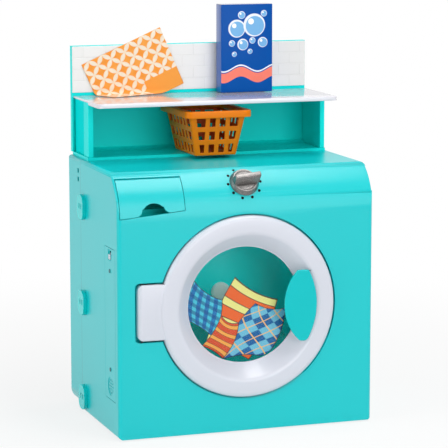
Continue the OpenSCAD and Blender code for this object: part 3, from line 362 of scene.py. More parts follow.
moulded.links.new(blendc(moulded, calc(moulded, "MULTIPLY", rub_mask, 0.06), tinted,
                         (0.9, 0.95, 0.95, 1)), get["colour"])
rough = calc(moulded, "MULTIPLY_ADD", cloud_sway, 0.03, put["gloss"])
rough = calc(moulded, "MULTIPLY_ADD", rub_mask, 0.2, rough, clamp=True)
moulded.links.new(rough, get["roughness"])
bump = add(moulded, "ShaderNodeBump", Strength=put["peel"], Distance=0.0002, Height=peel)
moulded.links.new(bump, get["normal"])
print("group", moulded.name, "ready")

# %% Plastics made with it


def plastic(name, colour, gloss, peel, cloud=0.06, rubs=0.2, metallic=0.0, coat=0.0,
            specular=0.5, alpha=1.0, extra=None):
    """A Principled surface whose colour, roughness and normal come from the group. The
    colour is a tuple, or a function that builds its nodes in the material."""
    paint = bpy.data.materials.new(name)
    paint.use_nodes = True
    tree = paint.node_tree
    shader = tree.nodes["Principled BSDF"]
    skin = add(tree, "ShaderNodeGroup", out=None, setup={"node_tree": moulded},
               colour=colour(tree) if callable(colour) else colour,
               gloss=gloss, peel=peel, cloud=cloud, rubs=rubs)
    fill(tree, shader, {
        "Base Color": skin.outputs["colour"], "Roughness": skin.outputs["roughness"],
        "Normal": skin.outputs["normal"], "Metallic": metallic, "Coat Weight": coat,
        "Coat Roughness": 0.08, "Specular IOR Level": specular, "Alpha": alpha})
    if extra:
        extra(tree, shader, skin)
    return paint


def varnish(tree, shader, skin):
    """A clear varnish that shows at a slant: the coat grows with the angle of view."""
    slant = add(tree, "ShaderNodeLayerWeight", Blend=0.5, out=1)
    tree.links.new(ease(tree, slant, 0.3, 0.7), shader.inputs["Coat Weight"])


def wear(paint, *names):
    """Gives solids that stay visible a material."""
    for name in names:
        nodes[name].data.materials.clear()
        nodes[name].data.materials.append(paint)


SEAM = 200.0    # where the two shells of the casing meet


def casing_colour(tree):
    """Teal, with a darker hairline within 0.3 mm of the seam: painted shade of the gap between the
    two shells.
    """
    apart = calc(tree, "ABSOLUTE", calc(tree, "SUBTRACT", millimetres(tree)[1], SEAM))
    return blendc(tree, ease(tree, apart, 0.3, 0.8), srgb(0, 150, 156), srgb(0, 198, 202))


teal = plastic("teal casing plastic", casing_colour, gloss=0.3, peel=0.1, cloud=0.03,
               rubs=0.1, specular=0.4)
# a lighter copy of the casing's teal: painted light for the shelf unit, which stands in the shade
# of the shelf
teal_hutch_painted_light = plastic("teal shelf unit plastic, painted lighter", srgb(0, 232, 227), gloss=0.4, peel=0.1,
                     cloud=0.03, rubs=0.1, specular=0.1)
# darker and duller than the shelf unit's teal: painted shade on the floor of a recess
teal_recess_shade = plastic("teal recess plastic, painted shade", srgb(0, 222, 220), gloss=0.6, peel=0.3, cloud=0.02,
                    rubs=0.0, specular=0.02)
teal_part = plastic("teal small part plastic", srgb(0, 212, 212), gloss=0.26, peel=0.08,
                    rubs=0.1, specular=0.32)
# a lighter teal than the casing's: painted light for the drum and the tray behind the flap, which
# lie in shade
teal_drum_painted_light = plastic("teal drum plastic, painted lighter", srgb(0, 246, 242), gloss=0.24, peel=0.1, cloud=0.03,
                    rubs=0.0, specular=0.3)
white = plastic("white door plastic", srgb(212, 215, 225), gloss=0.26, peel=0.06, cloud=0.0,
                rubs=0.0)
milky = plastic("milky cap plastic", srgb(250, 255, 250), gloss=0.35, peel=0.2)
grey = plastic("grey plastic", srgb(150, 152, 156), gloss=0.45, peel=0.4)
dark = plastic("dark plastic", srgb(40, 42, 46), gloss=0.5, peel=0.5)
bush_mat = plastic("cream bearing plastic", srgb(225, 214, 178), gloss=0.35, peel=0.3)
steel = plastic("bright steel", srgb(190, 192, 196), gloss=0.28, peel=0.05, metallic=1.0)
# dark teal screw heads: painted shade of the holes they sit in
screw_heads_painted_shade = plastic("screw steel painted as shaded holes", srgb(24, 112, 116), gloss=0.35, peel=0.2,
                   metallic=0.7)
rubber = plastic("foot rubber", srgb(38, 38, 40), gloss=0.75, peel=0.8, rubs=0.5)
wire_mat = plastic("wire sleeve", srgb(190, 30, 28), gloss=0.4, peel=0.1)

wear(teal_part, "electronics_tray")
# the drum and the tray get the teal with painted light
wear(teal_drum_painted_light, "drum", "detergent_tray")
wear(white, "door_liner", "door_latch", "power_switch")
wear(milky, "drum_hub_cap")
wear(grey, "drum_bulkhead")
wear(dark, "axle_clip", "latch_catch", "rotary_switch", "switch_body", "speaker", "hinge_pin")
wear(bush_mat, "drum_bearing")
wear(steel, "casing_screws", "drum_axle", "bulkhead_screws", "liner_screws",
     "knob_shaft", "flap_pin", "battery_contacts", "hutch_screws")
# the strip's screws take the painted shade of their holes
wear(screw_heads_painted_shade, "cover_screws")
wear(rubber, "feet")
wear(wire_mat, "speaker_wires")
print(len(bpy.data.materials), "materials so far")

# %% [markdown]
# ## Cells and circuit board
# These sit behind the strip on the side, out of sight until someone opens it. The cells have
# a sleeve in two colours, split along their length, and the board has green lacquer over a
# pattern of tracks, made from a square wave in two directions.

# %% Sleeves and lacquer
CELL_LONG = 50.5


def sleeve_colour(tree):
    """Black for two thirds of the cell's length, copper for the rest, by height."""
    z = split(tree, object_place(tree))[2]
    share = calc(tree, "FRACT", calc(tree, "MULTIPLY", z, 1000 / CELL_LONG))
    return blendc(tree, ease(tree, share, 0.62, 0.64), srgb(26, 26, 30), srgb(196, 120, 60))


def lacquer_colour(tree):
    """Green with paler tracks where a narrow square wave is on in either direction."""
    lines = [calc(tree, "LESS_THAN", calc(tree, "PINGPONG", k, 0.002), 0.0003)
             for k in split(tree, object_place(tree))[1:]]
    return blendc(tree, calc(tree, "MAXIMUM", *lines), srgb(14, 96, 52), srgb(60, 150, 84))


cell_mat = plastic("cell sleeve", sleeve_colour, gloss=0.3, peel=0.05)
board_mat = plastic("board lacquer", lacquer_colour, gloss=0.25, peel=0.1)
wear(cell_mat, "batteries")
wear(board_mat, "circuit_board")
print("cells and board done")

# %% [markdown]
# ## Window
# The window is a clear disc. Light has to reach the drum through it, so it is a thin layer of
# gloss over a nearly invisible surface, which lets shadows stay light behind it.

# %% Clear plastic
WINDOW_ALPHA = 0.03
clear = plastic("clear window plastic", srgb(90, 160, 160), gloss=0.05, peel=0.02, rubs=0.0,
                specular=1.0, alpha=WINDOW_ALPHA)
wear(clear, "door_window")
print("window alpha", WINDOW_ALPHA)

# %% [markdown]
# ## Softer copies of plain mouldings
# The shelf unit's walls, the seam's lugs, the flap and the side strip came in with knife
# edges. A copy of each solid is merged into whole flat faces first, and then Bevel rounds its
# edges, which keeps every hole and slot where it was. The floor of the shallow recess in each
# side wall gets a darker, duller teal of its own: painted shade in the recess.

# %% A merged and rounded copy
RECESS = 189.5      # how far the floor of a side wall's recess lies from the middle


def merged(source, degrees):
    """A copy of a solid's mesh, and its working form with whole flat faces: corners in the
    same place become one, and edges that turn by less than the given degrees go."""
    mesh = nodes[source].data.copy()
    mesh.materials.clear()
    work = bmesh.new()
    work.from_mesh(mesh)
    bmesh.ops.remove_doubles(work, verts=work.verts, dist=2e-6)
    bmesh.ops.dissolve_limit(work, angle_limit=math.radians(degrees), verts=work.verts,
                             edges=work.edges, use_dissolve_boundaries=False)
    return mesh, work


def flat_shaded(made):
    """Weighs each corner's normal by the area of its faces, so that a large flat face stays
    flat in the light and only its narrow round edge turns."""
    lean = made.modifiers.new("flat faces stay flat", "WEIGHTED_NORMAL")
    lean.mode, lean.weight, lean.keep_sharp = "FACE_AREA", 100, True


def softened(name, source, paint, width, body="machine", recess=False):
    """A copy whose edges are rounded, with darker, duller plastic on the floor of its recess:
    painted shade.
    """
    mesh, work = merged(source, 1.5)
    work.to_mesh(mesh)
    work.free()
    made = placed(name, mesh, paint, body, [source])
    if recess:
        # the floor of the recess gets the darker teal: painted shade
        mesh.materials.append(teal_recess_shade)
        # a face of that floor looks outwards and lies at RECESS
        for face in mesh.polygons:
            x, outwards = face.center.x * 1000, face.normal.x * face.center.x
            face.material_index = int(outwards > 0.15 and abs(abs(x) - RECESS) < 0.3)
    soft_edges(made, width, 3, 35)
    flat_shaded(made)
    print(f"{name}: {len(mesh.polygons)} flat faces before its edges are rounded")


# the shelf unit's walls wear the teal with painted light
for part, width in (("hutch_base", 0.001), ("hutch_left_side", 0.0012),
                    ("hutch_right_side", 0.0012), ("hutch_back", 0.0006),
                    ("backsplash_panel", 0.0007)):
    softened(part + "_soft", part, teal_hutch_painted_light, width, recess="side" in part)
softened("clips_soft", "casing_clips", teal_part, 0.0013)
softened("flap_soft", "detergent_flap", teal, 0.0005, body="flap")
softened("side_cover_soft", "side_cover", teal, 0.0003)

# %% [markdown]
# ## The casing's rims
# Both casing shells are rounded only where their sides meet the front, the top, the back and
# the bottom. Such an edge is easy to find: along its outer face's normal, no point of the side
# lies further out. Those edges get a bevel weight, and every opening keeps its crisp edge. The
# bottom edge takes the full width, and the others a little over a third of it.

# %% Round the rims of the casing
SIDE = 0.19999      # just short of the casing's sides, 0.2 m from the middle
RIM_WIDTH, RIM_SHARE = 0.0078, 0.36


def rim_rounded(source, seam):
    """seam is +1 or -1: the sign of y of the face that meets the other shell, left sharp."""
    mesh, work = merged(source, 0.5)
    work.normal_update()
    weight = work.edges.layers.float.new("bevel_weight_edge")
    on_side = np.array([v.co[:] for v in work.verts if abs(v.co.x) > SIDE])[:, 1:]
    found = 0
    for edge in work.edges:
        if len(edge.link_faces) != 2 or min(abs(v.co.x) for v in edge.verts) < SIDE:
            continue
        way = [f.normal for f in edge.link_faces if abs(f.normal.x) < 0.2]
        if len(way) != 1 or way[0].y * seam > 0.9:
            continue
        out = np.array(way[0][1:])
        if (on_side @ out).max() < np.array(edge.verts[0].co[1:]) @ out + 0.0004:
            edge[weight] = 1.0 if way[0].z < -0.9 else RIM_SHARE
            found += 1
    work.to_mesh(mesh)
    work.free()
    made = placed(source + "_soft", mesh, teal, "machine", [source])
    mesh.set_sharp_from_angle(angle=math.radians(28))
    soft = made.modifiers.new("round rims", "BEVEL")
    soft.width, soft.segments, soft.limit_method = RIM_WIDTH, 4, "WEIGHT"
    flat_shaded(made)
    print(f"{made.name}: {found} rim edges rounded")


rim_rounded("front_casing", 1)
rim_rounded("back_casing", -1)

# %% [markdown]
# ## Door
# The door's ring is turned: one closed outline of its wall, carried round the axis. The band
# is flat, falls away in a soft shoulder outside, and rolls over into the cone that leads down
# to the window, with a thin bead at the cone's foot. A hinge tab with a round outer edge grows
# out of its left side.

# %% The ring and its hinge tab
# the corners of its wall as (radius, depth), and how much each is rounded
ring_wall = fillet(
    [(110, -6), (137, -6), (137, 7), (134, 7), (134, -3), (111.3, -3), (92.4, 18),
     (98, 18), (98, 20), (88.3, 20), (88.3, 18)],
    [9, 8, 0.8, 0.8, 5, 5, 1, 0.4, 0.4, 0.6, 1.2], 6)
TAB_END, TAB_HALF, TAB_CORNER = -171, 42, 10
tab = fillet([(-128, -3), (TAB_END, -3), (TAB_END, 13), (-155.5, 13), (-155.5, 7), (-128, 7)],
             [0.5, 7.6, 7.6, 2, 1, 0.5], 7)
tab_rings = slab(tab, -TAB_HALF, TAB_HALF, 3)
# the tab's height follows a quarter circle near its end, so that its corners are round
left = np.clip(TAB_END + TAB_CORNER - tab_rings[..., 0], 0, TAB_CORNER)
reach = TAB_HALF - TAB_CORNER + np.sqrt(TAB_CORNER ** 2 - left ** 2)
tab_rings[..., 2] *= reach / TAB_HALF
tab_rings[..., 2] += DOOR_Z
circle = np.linspace(0, 2 * np.pi, 12, endpoint=False)
bead = np.stack([88.1 + 0.6 * np.cos(circle), 18.1 + 0.6 * np.sin(circle)], -1)
RING_STEPS = 180
piece("door_ring_skin", joined(loft(turned(ring_wall, RING_STEPS), loop=True), loft(tab_rings),
                               loft(turned(bead, RING_STEPS), loop=True)),
      "door", white, ["door_ring"])

# %% [markdown]
# ## Door handle
# The grip is a teal plate in the shape of a lens. Two circles and two straight cuts make its
# outline, and a short leg under each end stands on the door's cone.

# %% The handle plate and its legs
OUTER_R, INNER_R, INNER_X = 107, 75.7, 131
outer = np.radians(np.linspace(-31.6, 29.1, 20))
inner = np.radians(180 + np.linspace(-43.4, 47.7, 30))
outline = np.vstack([
    np.stack([OUTER_R * np.cos(outer), OUTER_R * np.sin(outer)], -1),
    np.stack([INNER_X + INNER_R * np.cos(inner), INNER_R * np.sin(inner)], -1),
])
corner = np.zeros(len(outline))
corner[[0, len(outer) - 1, len(outer), -1]] = 7.5, 6, 2.6, 7.5
plate_rings = slab(fillet(outline, corner, 5), -9.5, -5.7, 1.75)
legs = []
for lo, hi in ((-53, -41), (41, 49.5)):
    # the leg's far end stays 3 mm inside a circle just under the plate's own
    x_out = math.sqrt(105.8 ** 2 - max(lo ** 2, hi ** 2)) - 3
    foot = slab(fillet([(91.5, lo), (x_out, lo), (x_out, hi), (91.5, hi)], 1.2, 3), -7, 12, 0.6)
    # the cone falls by 24 mm over 21.7 mm of radius, and the leg ends 0.6 mm inside it
    cone = -6 + (110 - np.hypot(foot[..., 0], foot[..., 1])) * 24 / 21.7 + 0.6
    foot[..., 2] = np.minimum(foot[..., 2], np.maximum(cone, -5.8))
    legs.append(foot)
shapes = []
for rings in [plate_rings, *legs]:
    rings = rings[..., UPRIGHT]
    rings[..., 2] += DOOR_Z
    shapes.append(loft(rings))
handle_mat = plastic("teal handle plastic", srgb(0, 194, 197), gloss=0.22, peel=0.05, rubs=0.1,
                     specular=0.22, extra=varnish)
piece("door_handle_skin", joined(*shapes), "door", handle_mat, ["door_handle"])

# %% [markdown]
# ## Knob
# A conical skirt with a dished face, and a wedge-shaped grip across it that ends in a
# pointer. Both are worked out upright, and then stood on the slanted panel.

# %% The knob
TILT = math.radians(38)
PANEL_R, PANEL_Z = 80, 324.718      # the panel is part of a cylinder: radius, axis's height
KNOB_FOOT = 78.4                    # how far the knob's foot is from that axis


def on_panel(rings):
    """x stays, y runs up the panel, z leaves it along the knob's axis."""
    x, y, z = np.moveaxis(rings, -1, 0)
    out = KNOB_FOOT + z
    return np.stack([x, PANEL_R - out * math.cos(TILT) + y * math.sin(TILT),
                     PANEL_Z + out * math.sin(TILT) + y * math.cos(TILT)], -1)


skirt = fillet([(1, 6.7), (15.2, 6.9), (16.8, 8.1), (18.8, 8.0), (22, 0.4), (21.4, 0), (1, 0)],
               [0, 1.2, 0.7, 0.9, 0.2, 0.2, 0], 5)
circle = np.linspace(0, 2 * np.pi, 96, endpoint=False)[None]
skirt_rings = np.stack([skirt[:, :1] * np.cos(circle), skirt[:, :1] * np.sin(circle),
                        skirt[:, 1:] + 0 * circle], -1)


HALF_GRIP, FACE_R = 7, 19           # half the grip's width at its foot, and the face's radius
ARROW_FOOT, ARROW = 20.5, 1.5       # where the arrow starts, and how far its tip goes on


def grip_ring(height, low, high, less):
    """The grip's plan at one height, from low to high across it. Its left end lies on the
    face's circle, x = -sqrt(r^2 - v^2), and its right end is a blunt arrow."""
    v = np.linspace(low, high, 7)
    right = np.stack([ARROW_FOOT - less + ARROW * (1 - np.abs(v) / HALF_GRIP), v], -1)
    left = np.stack([-np.sqrt((FACE_R - less) ** 2 - v[::-1] ** 2), v[::-1]], -1)
    corner = np.zeros(2 * len(v))
    corner[[0, len(v) - 1, len(v), -1]] = 0.5
    return raised(fillet(np.vstack([right, left]), corner, 4), height)


GRIP_TALL = 13.5
rise = np.array([-0.6, 0.3, 3, 6, 9, 12, 12.9, 13.35, GRIP_TALL])
pinch = np.array([0, 0, 0, 0, 0, 0, 0.45, 1.0, 1.7])
grip = np.array([grip_ring(8 + h, -HALF_GRIP + h / 3 + q, HALF_GRIP - h * 3 / GRIP_TALL - q,
                           q + 0.02 * h) for h, q in zip(rise, pinch)])
# the pointer leans up the panel a little, and its end stands 1.8 mm higher
grip[..., 1] += 0.08 * grip[..., 0]
grip[..., 2] += 1.8 * np.clip(grip[..., 0] / 20, 0, 1) * np.clip(rise / GRIP_TALL, 0, 1)[:, None]


def silver_colour(tree):
    """Grey paint with fine bright flakes: a small cell pattern picks single specks."""
    spot = add(tree, "ShaderNodeTexVoronoi", Vector=object_place(tree), Scale=2200.0, out=1)
    flake = ease(tree, add(tree, "ShaderNodeSeparateColor", spot), 0.3, 1.0)
    return blendc(tree, flake, srgb(98, 98, 98), srgb(160, 154, 150))


silver = plastic("silver knob paint", silver_colour, gloss=0.33, peel=0.4, metallic=0.7,
                 rubs=0.1)
piece("knob_skin", joined(loft(on_panel(skirt_rings)), loft(on_panel(grip))), "knob", silver,
      ["control_knob"])

# %% [markdown]
# ## Dial marks
# The marks round the knob are stamped ink, eight dots in steps of 35 degrees. The panel is
# part of a cylinder, so each dot is worked out flat and laid on it: at v along the panel the
# surface lies sqrt(R^2 - v^2) from the cylinder's axis.

# %% The dots
DOTS, DIAL_R = 8, 25.5
# a square plate whose corners are so round that it is a disc
mark = slab(round_rect(2.2, 2.2, 2.19, 5), 0.02, 0.3, 0.1, 2, 0.3)
turns = np.radians(115 + 35.0 * np.arange(DOTS))
spread = np.stack([DIAL_R * np.cos(turns),
                   PANEL_R * np.sin(DIAL_R / PANEL_R * np.sin(turns))], -1)
marks = np.broadcast_to(mark, (DOTS,) + mark.shape).copy()
marks[..., :2] += spread[:, None, None]
marks[..., 2] += np.sqrt(PANEL_R ** 2 - marks[..., 1] ** 2) - KNOB_FOOT
black = plastic("stamped ink", srgb(6, 6, 8), gloss=0.6, peel=0.1, cloud=0.0, rubs=0.0,
                specular=0.1)
piece("dial_marks", joined(*[loft(on_panel(m)) for m in marks]), "machine", black,
      ["dial_dots"])

# %% [markdown]
# ## Shelf and tiles
# The shelf is a white board with a bullnose edge. The tile relief is one moulding: a thin
# sheet that carries rows of raised tiles in brick bond. All tiles are worked out at once, from
# one template and an array of their sizes and places.

# %% The shelf board
HALF_SHELF, SHELF_CORNER = 192.5, 8
SHELF_FRONT, SHELF_LOW, SHELF_TOP = 124, 478.5, 485
ON_SHELF = 485.3        # where a thing stands on the board, a hair above its top
near_front = SHELF_FRONT + np.arange(0, 12, 3)      # extra points, so that the corners curve
profile = fillet([*((y, SHELF_LOW) for y in near_front), (179.7, SHELF_LOW), (179.7, 481.7),
                  (268.5, 481.7), (268.5, SHELF_TOP), *((y, SHELF_TOP) for y in near_front[::-1])],
                 [1.3, 0, 0, 0, 1.3, 0.6, 1.3, 1.3, 0, 0, 0, 1.3], 4)
board = slab(profile, -HALF_SHELF, HALF_SHELF, 0.9, 4, 0.25)
# the board's ends follow a quarter circle near its front
into = np.clip(SHELF_FRONT + SHELF_CORNER - board[..., 0], 0, SHELF_CORNER)
reach = HALF_SHELF - SHELF_CORNER + np.sqrt(SHELF_CORNER ** 2 - into ** 2)
board[..., 2] *= reach / HALF_SHELF
shelf_mat = plastic("white shelf plastic", srgb(224, 222, 230), gloss=0.12, peel=0.05,
                    cloud=0.0, rubs=0.0, coat=0.3)
piece("shelf_board", loft(board[..., ACROSS]), "machine", shelf_mat, ["shelf_top"])

# %% The tiles
TILE, ROW, JOINT = 35.65, 17.825, 0.9
LEFT, RIGHT, FLOOR = -194.7, 189.0, 490.0
NARROWEST = 4
SHEET_Y, PROUD = 260.5, 0.5     # the sheet's front, and how far a tile stands out from it
spans = []
for row in range(4):
    first = LEFT + TILE / (1 + row % 2)     # every second row starts with half a tile
    ends = np.r_[LEFT, np.arange(first, RIGHT - NARROWEST, TILE), RIGHT]
    spans.append((ends[:-1], ends[1:], row))
x0 = np.concatenate([s[0] for s in spans])
x1 = np.concatenate([s[1] for s in spans])
z0 = FLOOR + ROW * np.concatenate([np.full(len(s[0]), s[2]) for s in spans])
# the template has half sizes of 1. Each tile moves its four corners apart to its own size
template = slab(round_rect(1, 1, 0.9, 3), 0, 1, 0.35, 3, 0.2)
corner = np.sign(template[..., :2])
offset = template[..., :2] - corner
half = np.stack([(x1 - x0 - JOINT) / 2, np.full(len(x0), (ROW - JOINT) / 2)], -1)
middle = np.stack([(x0 + x1) / 2, z0 + ROW / 2], -1)
flat = middle[:, None, None] + corner * half[:, None, None] + offset
tiles = raised(flat, SHEET_Y - PROUD * template[..., 2:])[..., UPRIGHT]
half_wide, half_tall = (RIGHT - LEFT) / 2, 2 * ROW
sheet_back = slab(round_rect(half_wide, half_tall, 0.6, 2,
                             ((LEFT + RIGHT) / 2, FLOOR + half_tall)), 260.3, 261.5, 0.2, 2)
tile_mat = plastic("white tile plastic", srgb(224, 225, 223), gloss=0.22, peel=0.15, cloud=0.01,
                   rubs=0.0)
piece("tile_relief", joined(loft(sheet_back[..., UPRIGHT]), *[loft(t) for t in tiles]),
      "machine", tile_mat, ["backsplash_tiles"])

# %% [markdown]
# ## Laundry basket
# The basket's wall is one ring of cells carried up from the base, with the cells of the
# windows left out. Solidify then gives the wall its thickness and Bevel rounds the bars, which
# is far less work than shaping each bar. The rim is a hollow band, carried round the top.

# %% The basket's wall
BX, BY, BZ = -1.0, 193.5, 398.8     # the middle of the basket's base
HALF_X, HALF_Y = 33, 51             # half its base
LEAN, TALL = 13.0, 70.0             # how far its walls lean outwards over their height


def basket_colour(tree):
    """Orange, and a redder orange inside, where the light comes through the wall. A point is
    inside if it is more than a millimetre behind the leaning outer faces."""
    x, y, z = millimetres(tree)
    lean = calc(tree, "MULTIPLY", calc(tree, "SUBTRACT", z, BZ), LEAN / TALL)
    past = []
    for k, mid, half in ((x, BX, HALF_X), (y, BY, HALF_Y)):
        away = calc(tree, "ABSOLUTE", calc(tree, "SUBTRACT", k, mid))
        past.append(calc(tree, "SUBTRACT", calc(tree, "SUBTRACT", away, half), lean))
    within = fall(tree, calc(tree, "MAXIMUM", *past), -1.7, -1.0)
    return blendc(tree, within, srgb(236, 124, 0), srgb(206, 74, 0))


orange = plastic("orange plastic", basket_colour, gloss=0.36, peel=0.12, cloud=0.04, rubs=0.1,
                 specular=0.16)


CORNER, POST, BAR, BAR_STEP = 4, 8.5, 7.0, 16.0


def wall_marks(half, bars):
    """Breaks along one side at the base and at the top: corner, post, then bars that stand
    upright, so that only the outer windows widen towards the top."""
    mid = (np.arange(bars) - (bars - 1) / 2) * BAR_STEP
    inner_marks = np.sort(np.r_[mid - BAR / 2, mid + BAR / 2])
    top = half + LEAN
    return (np.r_[-half + CORNER, -half + POST, inner_marks, half - POST, half - CORNER],
            np.r_[-top + CORNER, -top + POST + 1, inner_marks, top - POST - 1, top - CORNER])


# heights of the rings: each odd row of cells between them holds windows
levels = np.array([0, 4.2, 17, 24.3, 37, 44.6, 57.6, 61.5])
WINDOW_ROWS = [1, 3, 5]
share = levels[:, None] / TALL
curve = np.radians([22.5, 45, 67.5])
px, py, is_open = [], [], []
# c and s turn each side to its place. The first faces the front: x runs along it, y out of it
for c, s in ((1, 0), (0, 1), (-1, 0), (0, -1)):
    half, other, bars = (HALF_X, HALF_Y, 3) if c else (HALF_Y, HALF_X, 5)
    low, high = wall_marks(half, bars)
    along = low + (high - low) * share
    away = np.broadcast_to(other + LEAN * share, along.shape)
    x = np.hstack([along, half + LEAN * share - CORNER + CORNER * np.sin(curve)])
    y = np.hstack([away, other + LEAN * share - CORNER + CORNER * np.cos(curve)])
    px.append(c * x + s * y)
    py.append(s * x - c * y)
    is_open += [k % 2 == 1 and k < len(low) - 1 for k in range(x.shape[1])]
px, py = np.hstack(px), np.hstack(py)
tall = np.broadcast_to(levels[:, None], px.shape)
rings = np.stack([BX + px, BY + py, BZ + 0.4 + tall], -1)
points, faces = loft(rings, caps=False)
count = rings.shape[1]
cell = np.arange(len(faces))
is_window = np.isin(cell // count, WINDOW_ROWS) & np.array(is_open)[cell % count]
faces = [f for f, gone in zip(faces, is_window) if not gone]
# the floor is a little smaller than the lowest ring, about the same middle
floor_points = rings[0] * (0.9, 0.93, 1) + (0.1 * BX, 0.07 * BY, 0)
n = len(points)
at = np.arange(count)
after = (at + 1) % count
faces += np.stack([after, at, n + at, n + after], -1).tolist() + [(n + at).tolist()]
basket = piece("basket_wall", (np.vstack([points, floor_points]), faces), "basket", orange,
               ["laundry_basket"])
thicken(basket, 0.0022, -1)
soft_edges(basket, 0.0006, 2, 40)

# %% The basket's rim
band = fillet([(-2.4, 69.8), (7, 69.8), (7, 59.6), (5, 59.6), (5, 67.4), (-2.4, 67.4)],
              [0.8, 1.6, 0.8, 0.8, 0.8, 0.6], 4)
lean_at = np.where(band[:, 0] > 0, LEAN, LEAN * band[:, 1] / TALL)
rim = np.array([round_rect(HALF_X + l + o, HALF_Y + l + o, 4.6 + max(o, -2), 6)
                for (o, _), l in zip(band, lean_at)])
rim = raised(rim + (BX, BY), BZ + band[:, 1][:, None, None])
piece("basket_rim", loft(rim, loop=True), "basket", orange)

# %% [markdown]
# ## Detergent carton
# A folded carton has thin, slightly round edges and a lid flap that tucks in at the back. It
# is one block, with the lid as a thin and slightly smaller block on it. The print is a picture
# of soap bubbles over a wave: each bubble is a disc, found from its distance to a centre.

# %% The carton
BOX_HIGH = 622.8
box_plan = round_rect(42.5, 13, 1.5, 4, (81, 244.5))
lid_plan = round_rect(42.1, 12.4, 1.3, 4, (81, 244.6))
carton = slab(box_plan, ON_SHELF, BOX_HIGH - 0.5, 0.6, 3)
lid = slab(lid_plan, BOX_HIGH - 0.7, BOX_HIGH, 0.25, 2)


def squares(tree, a, b):
    """a squared plus b squared."""
    return calc(tree, "ADD", calc(tree, "MULTIPLY", a, a), calc(tree, "MULTIPLY", b, b))


def disc(tree, x, z, cx, cz, r):
    """1 inside a circle of radius r, 0 outside, with a soft edge of 0.7 mm."""
    away = calc(tree, "SQRT", squares(tree, calc(tree, "SUBTRACT", x, cx),
                                      calc(tree, "SUBTRACT", z, cz)))
    return fall(tree, away, r - 0.35, r + 0.35)


# centre and radius of each bubble
BUBBLES = [(64, 585, 14), (93, 590, 18), (74, 560, 9), (107, 563, 8), (56, 562, 5),
           (90, 566, 5), (109, 608, 5), (72, 606, 6), (86, 549, 4), (60, 545, 4)]


def carton_colour(tree):
    """Blue card. On the front: bubbles, and a wave z = 520 + 5 sin(x / 9) in coral."""
    x, y, z = millimetres(tree)
    face = fall(tree, y, 232.2, 232.6)
    swell = calc(tree, "SINE", calc(tree, "DIVIDE", x, 9.0))
    over = calc(tree, "SUBTRACT", z, calc(tree, "MULTIPLY_ADD", swell, 5.0, 520.0))
    colour = blendc(tree, ease(tree, over, -22, 60), srgb(0, 82, 164), srgb(0, 78, 162))
    band = between(tree, over, -15.3, -14.7, -0.3, 0.3)
    colour = blendc(tree, band, colour, srgb(248, 132, 112))
    crest = between(tree, over, 1.2, 1.8, 3.4, 4.0)
    colour = blendc(tree, crest, colour, srgb(240, 244, 250))
    for cx, cz, r in BUBBLES:
        body = calc(tree, "MULTIPLY", disc(tree, x, z, cx, cz, r), 0.95)
        colour = blendc(tree, body, colour, srgb(236, 240, 248))
        inner = disc(tree, x, z, cx + 0.06 * r, cz - 0.06 * r, 0.84 * r)
        colour = blendc(tree, inner, colour, srgb(120, 178, 224))
        shine = disc(tree, x, z, cx - 0.3 * r, cz + 0.32 * r, 0.26 * r)
        colour = blendc(tree, shine, colour, srgb(248, 250, 253))
    top = ease(tree, z, BOX_HIGH - 1.1, BOX_HIGH - 0.7)
    side = blendc(tree, top, srgb(20, 84, 168), srgb(24, 40, 104))
    return blendc(tree, face, side, colour)


card = plastic("printed carton", carton_colour, gloss=0.3, peel=0.08, cloud=0.02, rubs=0.1,
               specular=0.08, extra=varnish)
piece("carton", joined(loft(carton), loft(lid)), "box", card,
      ["detergent_box", "detergent_box_base"])

# %% [markdown]
# ## Dryer sheet
# The cloth is stiff, cut to 138 by 97 mm, and leans on the tiles, turned by a few degrees. Its
# lowest corner would pass through the shelf, so there it bends forward along a level line and
# lies flat. Bending about a straight line keeps every length, as real cloth does: below the
# line the distance s turns into an arc of radius R, y = -R (1 - cos(s / R)), and then a
# straight run.

# %% The bent cloth
LONG, WIDE, BEND = 138.0, 97.0, 8.0
CORNER_X, CORNER_Z = -180.0, 532.8      # its upper left corner
LEANS_AT = 259.3                        # y of its upright part, in front of the tiles
along_way, down_way = np.array([126.4, 55.5]) / LONG, np.array([39.0, -88.8]) / WIDE
u, v = np.meshgrid(np.linspace(0, LONG, 93), np.linspace(0, WIDE, 66))
cloth_x = CORNER_X + along_way[0] * u + down_way[0] * v
cloth_z = CORNER_Z + along_way[1] * u + down_way[1] * v
start_z = ON_SHELF + 0.5 + BEND
s_down = np.clip(start_z - cloth_z, 0, None)
angle = np.clip(s_down / BEND, 0, np.pi / 2)
run = np.clip(s_down - BEND * np.pi / 2, 0, None)
# two slow ripples, which fade out at the bend
wave = 0.35 * (1 - np.cos(u / 17 + v / 29)) + 0.25 * (1 - np.cos(v / 13 - u / 41))
wave *= 1 - np.clip(s_down / 6, 0, 1)
cloth_y = LEANS_AT - BEND * (1 - np.cos(angle)) - run - wave
cloth_z = np.maximum(cloth_z, start_z) - BEND * np.sin(angle)
grid = np.stack([cloth_x, cloth_y, cloth_z], -1)
# v runs down the cloth, so each face goes round the other way to point outwards
quads = grid_quads(np.arange(u.size).reshape(u.shape))[:, [0, 3, 2, 1]]
print("cloth grid", grid.shape, "lowest", cloth_z.min().round(2))

# %% Its petals and its weave
PETAL_STEP = 16.6       # from the middle of one flower to the next


